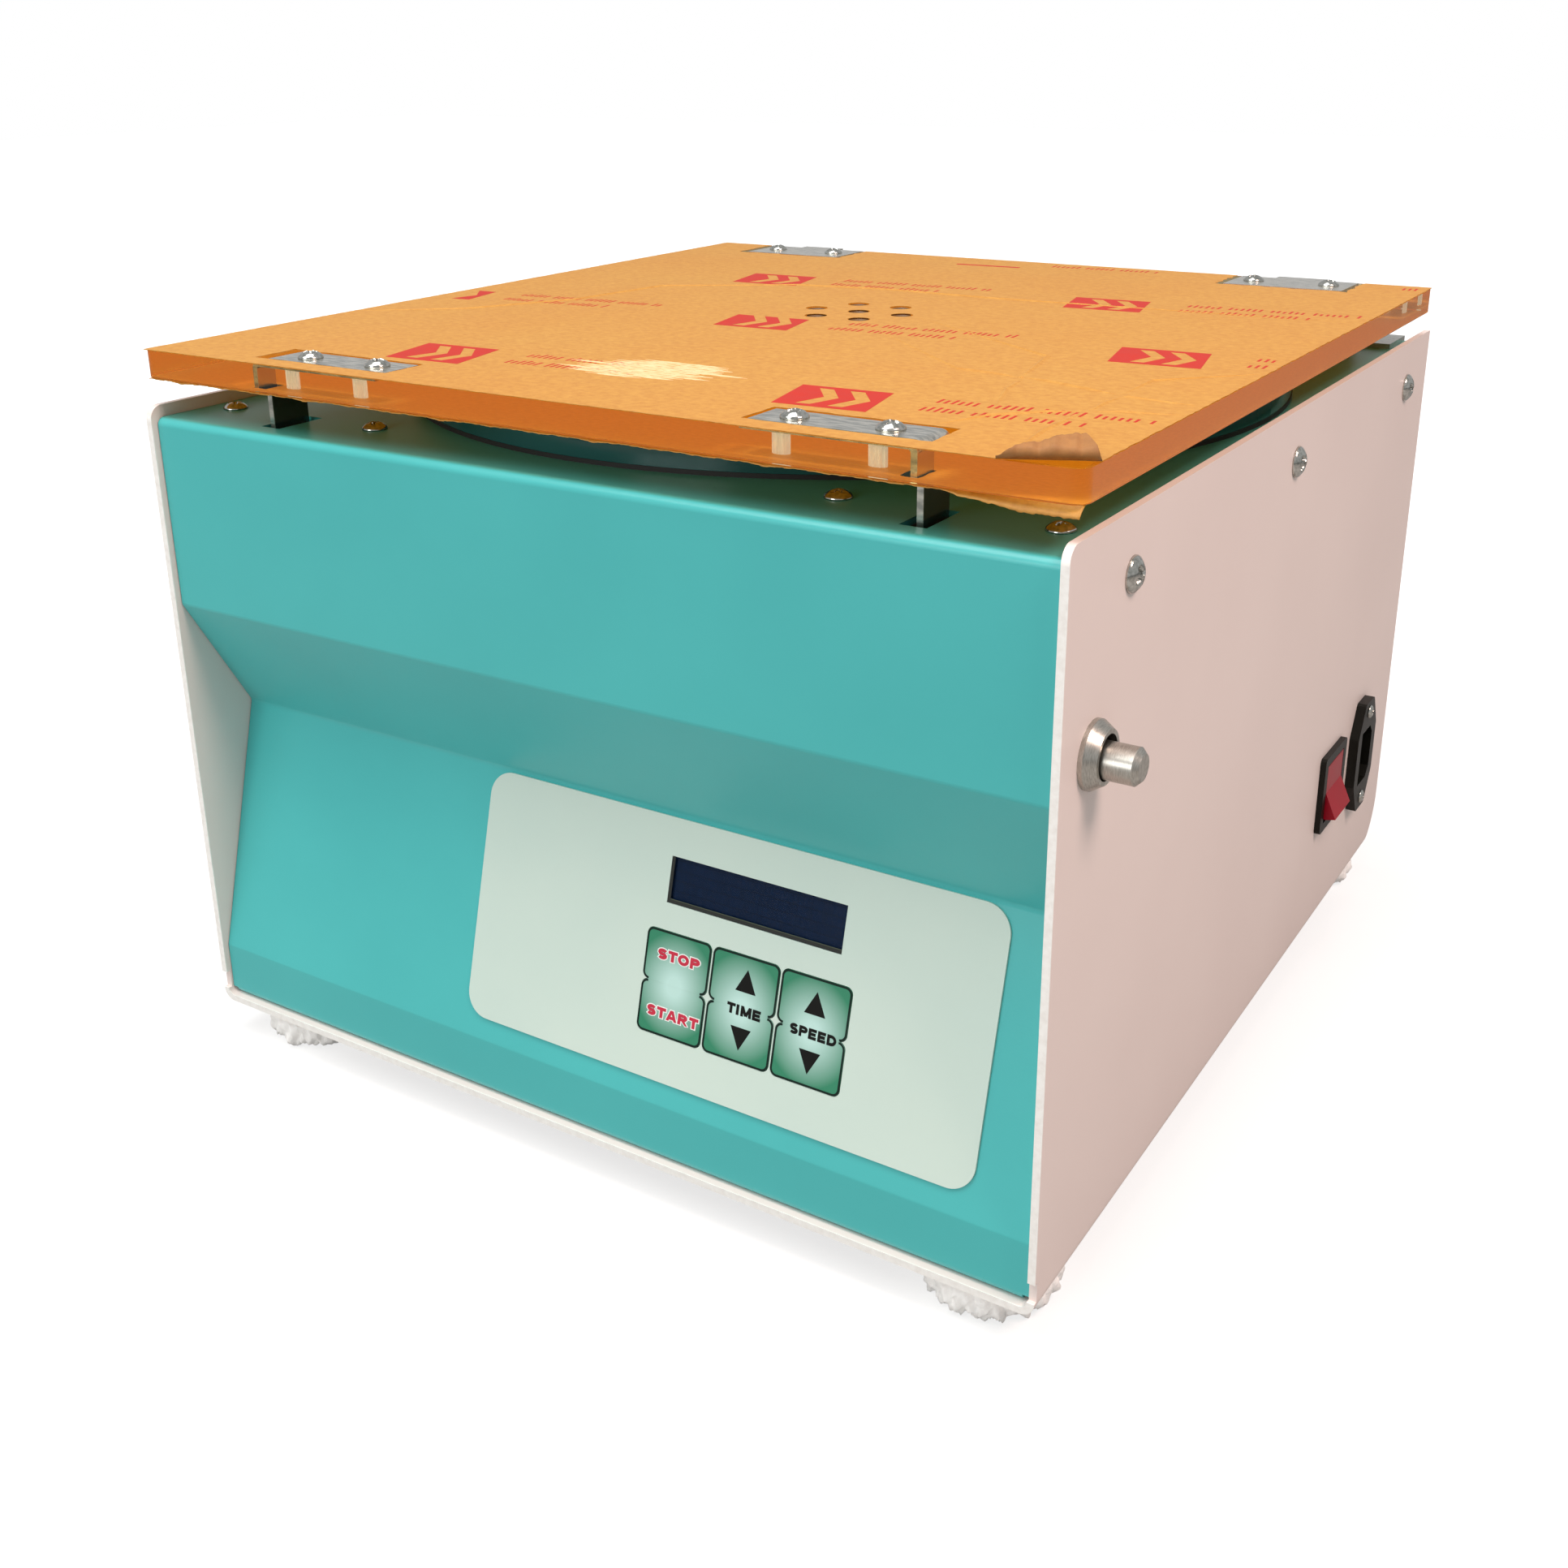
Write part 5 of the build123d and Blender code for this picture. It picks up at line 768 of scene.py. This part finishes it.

# %% [markdown]
# ## Torn corner and hanging edge
# At the front right corner the top paper has been peeled back: a curled flap shows its paler back, and beside
# it the bare sheet shows the painted glow of the paper under it. The bottom paper wasn't trimmed, so its
# front edge hangs as a ragged fringe that grows towards that corner. Both are strips: one parameter runs
# along the edge, the other away from it.

# %% The curled flap
fold_a, fold_b = np.array(TEAR_START), np.array(TEAR_END)
fold_run = fold_b - fold_a
fold_l = np.linalg.norm(fold_run)
fold_run = fold_run / fold_l
inward = np.array([-fold_run[1], fold_run[0]])
FLAP_REACH, CURL_R, CURL_END = 15.0, 1.9, 2.7
s, t = np.meshgrid(np.linspace(0, 1, 40), np.linspace(0, 1, 22), indexing="ij")
taper = np.clip(np.minimum(0.12 + s / 0.85, 0.1 + (1 - s) / 0.16), 0.05, 1)
arc = t * (FLAP_REACH * taper + ragged(s[:, :1], 0.6, 0.5, 5))
curl_r = CURL_R + ragged(s, 0.45, 0.4, 21)
turn = np.minimum(arc / curl_r, CURL_END)
flat = np.maximum(arc - CURL_END * curl_r, 0)
out = curl_r * np.sin(turn) + flat * np.cos(CURL_END)
rise = curl_r * (1 - np.cos(turn)) + flat * np.sin(CURL_END) * 0.35 + ragged(s, 0.35, 0.3, 22) * t
across = fold_a + (s * fold_l)[..., None] * fold_run - out[..., None] * inward
flap = np.concatenate([across, (LID_TOP + 0.3 + rise)[..., None]], axis=-1)
strip = grid_faces(*s.shape, closed=False)
kraft_back = skin("kraft_paper_back", "#AE7B42", "#85572B", 4, 0.6, 0.1, 0.7)
paper_flap = make_piece("masking_paper_flap", flap * MM, strip, kraft_back, "lid",
                        outwards=False)
thicken(paper_flap, 0.16, 0)
print("flap of", round(fold_l, 1), "mm along its fold")

# %% The ragged fringe below the front edge
FRINGE_BACK = 5.0
u = np.linspace(-EDGE_X + 2, EDGE_X - 1, 420)
near = np.clip((u - 138) / 20, 0, 1)
drop = 0.35 + np.abs(ragged(u, 0.8, 60.0, 8)) + 2.6 * near + 0.5 * near * np.abs(ragged(u, 1.0, 9.0, 3))
v = np.linspace(0, 1, 9)
uu, vv = np.meshgrid(u, v, indexing="ij")
fall = drop[:, None] * vv ** 2.2
forward = FRONT + FRINGE_BACK * (1 - vv) - 0.4 * near[:, None] * vv + 0.15
fringe = np.stack([uu, forward, lid_low.z / MM - 0.12 - fall], axis=-1)
strip = grid_faces(len(u), len(v), closed=False)
paper_fringe = make_piece("masking_paper_fringe", fringe * MM, strip, kraft, "lid",
                          outwards=False)
thicken(paper_fringe, 0.16, 0)
print("fringe drops up to", round(float(drop.max()), 1), "mm")

# %% [markdown]
# ## Printed marks and scuffed paper
# Masking paper is printed in red. Here the print is plain: boxes with two open chevrons, and rows of upright
# dashes, on a slight slant. Each mark is a thin closed plate of ink a twentieth of a millimetre high, so it
# needs no picture. Where the top ply has been dragged off, pale slivers of torn fibres show.

# %% Plates of ink


def plate_points(outline, low, high):
    """Points and faces of a closed plate over an outline: a bottom ring, a top ring, the walls, both ends."""
    count = len(outline)
    ring = np.concatenate([np.column_stack([outline, np.full(count, z)]) for z in (low, high)])
    index = np.arange(count)
    walls = np.column_stack([index, np.roll(index, -1), np.roll(index, -1) + count, index + count])
    return ring, [*walls.tolist(), index[::-1].tolist(), (index + count).tolist()]


def plates(name, outlines, low, high, material, body, place_points=None, step=0.0):
    """Several plates as one piece, each higher than the one before by step; place_points may carry their
    flat points onto another surface."""
    points, faces, start = [], [], 0
    for number, outline in enumerate(outlines):
        ring, around = plate_points(outline, low + step * number, high + step * number)
        points.append(ring)
        faces += [[start + i for i in face] for face in around]
        start += len(ring)
    points = np.concatenate(points) * MM
    placed = points if place_points is None else place_points(points)
    return make_piece(name, placed, faces, material, body, smooth=False)


red_ink = skin("red_printing_ink", "#BB2816", "#AC2213", 6, 0.5, 0.01, 0.5, Specular_IOR_Level=0.2)
SLANT, ITALIC = np.radians(3), 0.16
BOX_SIZE, BOX_ROWS, BOX_COLUMNS = (31, 28), (-141, -31, 70, 168), ((-78, 77), (-174, -19, 137))
DASH_W, DASH_H, DASH_PITCH, DASHES, LINE_PITCH, DASH_START = 0.9, (3.8, 6.2), 2.3, (30, 22), 12, (30, 7)
slanted = np.array([[np.cos(SLANT), -np.sin(SLANT)], [np.sin(SLANT), np.cos(SLANT)]])
chevron_box = [np.array(outline) for outline in (
    [(0, 0), (1, 0), (1, 0.1), (0, 0.1)], [(0, 0.9), (1, 0.9), (1, 1), (0, 1)],
    [(0, 0.1), (0.22, 0.1), (0.4, 0.5), (0.22, 0.9), (0, 0.9)],
    [(0.38, 0.1), (0.56, 0.1), (0.74, 0.5), (0.56, 0.9), (0.38, 0.9), (0.56, 0.5)],
    [(0.72, 0.1), (1, 0.1), (1, 0.9), (0.72, 0.9), (0.9, 0.5)])]
chance = np.random.default_rng(3)
marks = []
for row, y in enumerate(BOX_ROWS):
    for x in BOX_COLUMNS[row % 2]:
        for part in chevron_box:
            box = (part - 0.5) * BOX_SIZE
            box[:, 0] -= ITALIC * box[:, 1]
            marks.append(box @ slanted.T + (x, y))
        for line, count in enumerate(DASHES):
            for dash in range(count):
                tall = chance.uniform(*DASH_H)
                upright = np.array([(0, 0), (DASH_W, 0), (DASH_W, tall), (0, tall)])
                shift = (DASH_START[0] + DASH_PITCH * dash, DASH_START[1] - LINE_PITCH * line)
                # every seventh dash is left out, as the gap between two words
                if dash % 7 != 6:
                    marks.append((upright + shift) @ slanted.T + (x, y))
covered = pockets + notches + [circle(0, VENT_Y, VENT_CIRCLE_R + 8)]
clear = [m for m in marks if not any(inside(m, c).any() for c in covered)
         and np.abs(m[:, 0]).max() < EDGE_X - 3 and m[:, 1].min() > FRONT + 4 and m[:, 1].max() < REAR - 4]
plates("masking_paper_print", clear, LID_TOP + 0.2, LID_TOP + 0.26, red_ink, "lid")
print(len(clear), "printed marks")

# %% The scuff
scuffed = skin("torn_paper_fibres", "#EFD3A6", "#DDB074", 4, 0.5, 0.1, 0.85)
scuff = []
for row in range(13):
    y = -144.5 + 2.25 * row
    half = 36 * np.sqrt(1 - ((row - 6) / 7) ** 2) * chance.uniform(0.55, 1.0)
    along = np.arange(-half, half, 1.6)
    taper = np.clip((half - np.abs(along)) / 7, 0.12, 1)
    upper, lower = (y + side * taper * chance.uniform(0.55, 1.25, len(along)) for side in (1, -1))
    along = along + 3 + 0.35 * (y + 130)
    scuff.append(np.concatenate([np.column_stack([along, lower]), np.column_stack([along, upper])[::-1]]))
plates("masking_paper_scuff", scuff, LID_TOP + 0.2, LID_TOP + 0.3, scuffed, "lid")
print("scuff of", len(scuff), "slivers")

# %% [markdown]
# ## Keypad
# The keys are domes under one printed film. Each key is shaded from a pale middle to deep green corners,
# with one column's shading centred between its two keys. So the key's material measures the distance
# from the middle of its column with a spherical gradient. A dark line follows each key's rim.

# %% Key film
COLUMN_X = (37.6, 64.0, 90.4)
KEY_DOWN, KEY_PITCH, KEY_W, KEY_H, KEY_R = 56.9, 17.8, 25.6, 17.6, 2.5
KEY_COLUMNS = (("key_stop", "key_start"), ("key_time_up", "key_time_down"),
               ("key_speed_up", "key_speed_down"))
LIP_INSET = 2.2


def on_key(points):
    """Flat points, X across and Y down, on the top of the keys."""
    return on_face(points[:, 0], points[:, 1], KEY_TOP + points[:, 2])


for names, x in zip(KEY_COLUMNS, COLUMN_X):
    film, tree, shader, place = start_material(f"printed_{names[0]}_film")
    centre = on_face(x * MM, KEY_DOWN * MM, KEY_TOP)
    moved = add(tree, "ShaderNodeVectorMath", {"operation": "SUBTRACT"}, {0: place, 1: centre.tolist()})
    sized = add(tree, "ShaderNodeVectorMath", {"operation": "DIVIDE"}, {
        0: moved.outputs[0], 1: (19.0 * MM, 21.5 * MM, 21.5 * MM)})
    glow = add(tree, "ShaderNodeTexGradient", {"gradient_type": "SPHERICAL"}, {"Vector": sized.outputs[0]})
    shade = add(tree, "ShaderNodeValToRGB", {
        "stops": [(0.16, linear("#26825F")), (0.85, linear("#BFE3DA"))]}, {"Fac": glow.outputs["Fac"]})
    feed(shader, {"Base Color": shade.outputs["Color"], "Roughness": 0.38})
    dress(film, *names)
    for name, row in zip(names, (-1, 1)):
        edge = KEY_DOWN + row * 0.5 * (KEY_PITCH - KEY_H)
        d0, d1 = sorted((KEY_DOWN + row * 0.01, edge + row * 0.4))
        half = KEY_W / 2 - LIP_INSET
        lip = np.array([(x - half, d0), (x + half, d0), (x + half, d1), (x - half, d1)])
        plates(f"{name}_lip", [lip], 0.0, 0.012, film, name, on_key)
print("column middles at", COLUMN_X, "mm")

# %% Overlay and display
polyester = skin("matt_polyester_overlay", "#D8E6D9", "#BED5CC", 110, 0.5, 0.006, 0.42)
dress(polyester, "keypad_overlay")
lcd, tree, shader, place = start_material("dark_blue_liquid_crystal")
cells = add(tree, "ShaderNodeTexBrick", {"offset": 0.0}, {
    "Vector": place, "Scale": 1000 / 3.6, "Mortar Size": 0.02, "Color1": linear("#112746"),
    "Color2": linear("#102440"), "Mortar": linear("#0E2039")})
feed(shader, {"Base Color": cells.outputs["Color"], "Roughness": 0.25, "Specular IOR Level": 0.15})
dress(lcd, "display_module")
window_film = skin("clear_display_window", "#101B30", "#0D1728", 30, 1.0, 0.002, 0.20, 0.04, Alpha=0.1,
                   Specular_IOR_Level=0.2)
dress(window_film, "display_window")
print("overlay and display")

# %% Painted shade and a painted lit line inside the display's opening
SCREEN_X, SCREEN_DOWN, FILM_TOP, WALL, LEDGE = (30.8, 97.2), (14.2, 29.6), 0.8, 1.15, 1.4


def on_film(points):
    """Flat points, X across and Y down, on the top of the overlay."""
    return on_face(points[:, 0], points[:, 1], points[:, 2])


(x0, x1), (d0, d1) = SCREEN_X, SCREEN_DOWN
recess_shade = skin("shaded_recess_wall", "#141A12", "#0E120C", 20, 0.6, 0.004, 0.6)
lit_ledge = skin("lit_recess_ledge", "#46513C", "#3B4533", 20, 0.6, 0.004, 0.6)
shades = [np.array([(x0, d0), (x0 + WALL, d0), (x0 + WALL, d1), (x0, d1)]),
          np.array([(x0 + WALL, d1 - WALL), (x1, d1 - WALL), (x1, d1), (x0 + WALL, d1)])]
ledge = np.array([(x0 + WALL, d1 - LEDGE), (x1, d1 - LEDGE), (x1, d1 - WALL), (x0 + WALL, d1 - WALL)])
for name, shapes, ink in (("shade", shades, recess_shade), ("ledge", [ledge], lit_ledge)):
    plates(f"display_recess_{name}", shapes, FILM_TOP, FILM_TOP + 0.02, ink, "cabinet", on_film)
print("opening", round(x1 - x0, 1), "by", round(d1 - d0, 1), "mm")

# %% Rim lines


def rounded_run(width, height, radius, grow, lower_open):
    """Points round a rounded rectangle grown outwards by grow, from one end of its open side to the other.
    Each corner is a quarter circle of radius plus grow about the same centre."""
    run = []
    for cx, cy, start in ((-1, -1, 270), (-1, 1, 180), (1, 1, 90), (1, -1, 0)):
        a = np.radians(np.linspace(start, start - 90, 9))
        run.append(np.column_stack([cx * (width / 2 - radius) + (radius + grow) * np.cos(a),
                                    cy * (height / 2 - radius) + (radius + grow) * np.sin(a)]))
    run = np.concatenate(run)
    return run if lower_open else run * np.array([1, -1])


RIM_OUT, RIM_IN, RIM_H = -0.02, -0.7, 0.03
rim_ink = skin("dark_rim_ink", "#12261F", "#0E1F1A", 6, 0.5, 0.01, 0.4, Specular_IOR_Level=0.15)
for (upper, lower), x in zip(KEY_COLUMNS, COLUMN_X):
    for name, row in ((upper, -1), (lower, 1)):
        centre_down = KEY_DOWN + row * KEY_PITCH / 2
        outer, inner = (rounded_run(KEY_W, KEY_H, KEY_R, grow, row < 0) for grow in (RIM_OUT, RIM_IN))
        rings = np.stack([outer, inner, inner, outer], axis=1)
        lifts = np.array([0.0, 0.0, RIM_H, RIM_H])
        points = on_face((x + rings[..., 0]) * MM, (centre_down - rings[..., 1]) * MM,
                         KEY_TOP + np.broadcast_to(lifts, rings.shape[:2]) * MM)
        count = len(outer)
        ends = [[0, 1, 2, 3], [4 * count - 1, 4 * count - 2, 4 * count - 3, 4 * count - 4]]
        faces = [*grid_faces(count, 4).tolist(), *ends]
        make_piece(f"{name}_rim", points, faces, rim_ink, name, smooth=False)
print("rims on six keys")

# %% [markdown]
# ## Words and arrows on the keys
# STOP and START are red with a white halo, TIME and SPEED black, all in heavy capitals. Each letter is a few
# strokes: a path in a box of height 1, made into a band of even width. The words that straddle two
# keys are cut along the line between them, so that each half moves with its own key.

# %% Heavy capitals
WEIGHT = 0.29
LOW, HIGH = WEIGHT / 2, 1 - WEIGHT / 2
HALF = (HIGH - LOW) / 4


def bow(x, y, across, up, start, end):
    """Points on an ellipse's arc, for the round parts of a letter."""
    a = np.radians(np.linspace(start, end, 11))
    return list(zip(x + across * np.cos(a), y + up * np.sin(a)))


stem, top_bar, bottom_bar = [(LOW, 0), (LOW, 1)], [(0, HIGH), (0.85, HIGH)], [(0, LOW), (0.85, LOW)]
bowl_of_p = [(LOW, HIGH), *bow(0.52, 0.68, 0.26, HIGH - 0.68, 90, -90), (LOW, 0.68 - (HIGH - 0.68))]
LETTERS = {
    "S": (0.92, [[*bow(0.45, 0.5 + HALF, 0.31, HALF, 25, 262),
                  *bow(0.45, 0.5 - HALF, 0.31, HALF, 82, -155)]]),
    "T": (0.92, [[(0, HIGH), (0.9, HIGH)], [(0.45, 0), (0.45, 1)]]),
    "O": (1.08, [bow(0.5, 0.5, 0.39, HIGH - 0.5, -9, 189), bow(0.5, 0.5, 0.39, HIGH - 0.5, 171, 369)]),
    "P": (0.95, [stem, bowl_of_p]),
    "A": (1.06, [[(0.1, -0.1), (0.48, 1.1)], [(0.52, 1.1), (0.9, -0.1)], [(0.28, 0.3), (0.72, 0.3)]]),
    "R": (1.04, [stem, bowl_of_p, [(0.42, 0.5), (0.88, -0.1)]]),
    "I": (0.40, [stem]),
    "M": (1.16, [stem, [(0.98, 0), (0.98, 1)], [(0.16, 1.1), (0.56, 0.1)], [(0.56, 0.1), (0.96, 1.1)]]),
    "E": (0.92, [stem, top_bar, bottom_bar, [(0, 0.5), (0.78, 0.5)]]),
    "D": (1.02, [stem, [(LOW, HIGH), *bow(0.45, 0.5, 0.40, HIGH - 0.5, 90, -90), (LOW, LOW)]]),
}


def band(path, width, grown):
    """Outline of a stroke: its path moved half the width to each side, and longer by grown at both ends."""
    path = np.asarray(path, float)
    run = np.gradient(path, axis=0)
    run /= np.linalg.norm(run, axis=1)[:, None]
    away = np.column_stack([-run[:, 1], run[:, 0]]) * width / 2
    path[0] -= run[0] * grown
    path[-1] += run[-1] * grown
    return np.concatenate([path + away, (path - away)[::-1]])


def lettering(text, width, height, grown):
    """Outlines of a word's strokes, centred on the origin, width by height millimetres and grown all round.
    The slanted strokes run on past the line and are cut level with it."""
    outlines, start = [], 0.0
    for letter in text:
        step, paths = LETTERS[letter]
        outlines += [band(np.array(path) + (start, 0), WEIGHT + 2 * grown, grown) for path in paths]
        start += step + 0.08
    level = [np.column_stack([o[:, 0], np.clip(o[:, 1], -grown, 1 + grown)]) for o in outlines]
    return [(o - ((start - 0.08) / 2, 0.5)) * (width / (start - 0.15), height) for o in level]


print(len(LETTERS), "letters in", sum(len(paths) for _, paths in LETTERS.values()), "strokes")

# %% Words
red_letters = skin("red_sign_ink", "#C9203F", "#BE1D3A", 5, 0.5, 0.01, 0.4)
white_halo = skin("white_sign_ink", "#F2F7F2", "#E9F1EA", 5, 0.5, 0.01, 0.4)
black_letters = skin("black_sign_ink", "#11120F", "#0C0D0B", 5, 0.5, 0.01, 0.4, Specular_IOR_Level=0.15)
INK_H, INK_STEP = 0.02, 0.003


def word(name, outlines, down, x, lift, material, keys):
    """Strokes as thin plates on the key face, each a hair above the one before so that none share a plane.
    With two keys the word is cut in half along the line between them."""
    drawn = [outline * (1, -1) + (x, down) for outline in outlines]
    for key, side in zip(keys, (1, -1) if len(keys) == 2 else (0,)):
        piece = plates(f"{name}_{key}", drawn, lift, lift + INK_H, material, key, on_key,
                       INK_STEP)
        if side:
            shape = bmesh.new()
            shape.from_mesh(piece.data)
            everything = shape.verts[:] + shape.edges[:] + shape.faces[:]
            middle_line = on_face(x * MM, KEY_DOWN * MM, KEY_TOP)
            made = bmesh.ops.bisect_plane(shape, geom=everything, plane_co=middle_line,
                                          plane_no=FACE_DOWN * side, clear_outer=True)
            rim = [e for e in made["geom_cut"] if isinstance(e, bmesh.types.BMEdge)]
            bmesh.ops.holes_fill(shape, edges=rim)
            bmesh.ops.recalc_face_normals(shape, faces=shape.faces)
            shape.to_mesh(piece.data)
            shape.free()


for text, down, x, width in (("STOP", 47.2, 38.3, 16.6), ("START", 66.8, 38.6, 20.4)):
    for kind, grown, lift, ink in (("halo", 0.10, 0.01, white_halo), ("word", 0.0, 0.08, red_letters)):
        word(f"{kind}_{text.lower()}", lettering(text, width, 3.6, grown), down, x, lift, ink,
             [f"key_{text.lower()}"])
for text, x, width in (("TIME", 65.4, 12.9), ("SPEED", 91.4, 16.9)):
    word(f"word_{text.lower()}", lettering(text, width, 3.5, 0.0), 57.4, x, 0.02, black_letters,
         [f"key_{text.lower()}_{way}" for way in ("up", "down")])
print("four words")

# %% Arrows
for way, apex, base in (("up", 43.6, 51.2), ("down", 70.6, 63.0)):
    for column, x in (("time", 65.0), ("speed", 91.0)):
        arrow = np.array([(x - 3.9, base), (x + 3.9, base), (x, apex)])
        plates(f"key_{column}_{way}_arrow", [arrow], 0.0, 0.03, black_letters, f"key_{column}_{way}",
               on_key)
print("four arrows")

# %% [markdown]
# ## Packing film round the feet
# The machine was set down with its feet still wrapped in thin white foam. Each wrap is a crumpled ring: a
# profile round the foot whose radius and height swell by the absolute value of crossed sines. Between two
# zeros such a wave bulges roundly, and at each zero it makes a sharp crease, as crushed foam does.

# %% Crumpled wraps


def crushed(turn, up, seed):
    """Bulges from 0 to 1: absolute values of sines of the turn and the height, at four scales."""
    chance = np.random.default_rng(seed)
    total, weight = np.zeros_like(turn), 0
    for step, share in ((5, 0.7), (9, 1.0), (16, 0.8), (27, 0.5)):
        lean_by = chance.uniform(-4, 4)
        wave = np.sin(step * turn + lean_by * step * 0.3 * up + 6.28 * chance.random())
        total += share * np.abs(wave)
        weight += share
    return total / weight


# Painted glow: a faint white emission brightens the foam, for light passing through the thin film.
foam = skin("crumpled_foam_film", "#FBFAF7", "#EDEBE7", 9, 2.0, 0.5, 0.6, Emission_Strength=0.12,
            Emission_Color=linear("#FFFDFA"), Subsurface_Weight=0.15, Subsurface_Radius=(0.004, 0.004, 0.004))
TURN_STEPS, UP_STEPS = 180, 26
BULGE, SAG, LEAN, WRAP_TOP = 4.4, 5.0, 0.15, 13.5
# the inner wall follows the foot from its top to the bench
INNER_R, INNER_Z = (14.6, 11.8), (12.8, 0.6)
up, turn = np.meshgrid(np.linspace(0, 1, UP_STEPS), np.linspace(0, 2 * np.pi, TURN_STEPS, endpoint=False),
                       indexing="ij")
section_r = np.array([12.2, 16.0, 19.0, 21.0, 21.6, 20.6, 15.4])
section_z = np.array([0.6, 0.5, 1.2, 4.0, 9.0, 12.6, 13.4])
knots = np.linspace(0, 1, len(section_r))
base_r, base_z = np.interp(up, knots, section_r), np.interp(up, knots, section_z)
wraps, faces = [], []
for number, (x, y) in enumerate(FEET):
    loose = np.sin(np.pi * up)
    shake = crushed(turn, up, number) - 0.55
    radius = base_r * (1 + LEAN * np.cos(turn) * loose) + BULGE * shake * loose
    level = base_z + SAG * (crushed(turn, up, number + 9) - 0.5) * loose
    outer = np.stack([x + radius * np.cos(turn), y + radius * np.sin(turn),
                      np.clip(level, 0.3, WRAP_TOP)], axis=-1)
    inner = np.stack([np.column_stack([circle(x, y, r, TURN_STEPS), np.full(TURN_STEPS, z)])
                      for r, z in zip(INNER_R, INNER_Z)])
    ring = np.concatenate([outer, inner, outer[:1]])
    wraps.append(ring)
    faces.append(grid_faces(len(ring), TURN_STEPS, number * len(ring) * TURN_STEPS))
wrap_piece = make_piece("packing_film_wraps", np.concatenate(wraps) * MM, np.concatenate(faces), foam,
                        "cabinet")
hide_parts("foot_wraps")
reach = np.abs(np.concatenate(wraps)[..., 0]).max() - FEET[-1][0]
print("wraps reach", round(float(reach), 1), "mm from the middle of each foot")

# %% Sizes and finish
low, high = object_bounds()
for side, grown in (("lower", cad_low - low), ("upper", high - cad_high)):
    print(side, "corner grows by", [round(v / MM, 2) for v in grown], "mm")
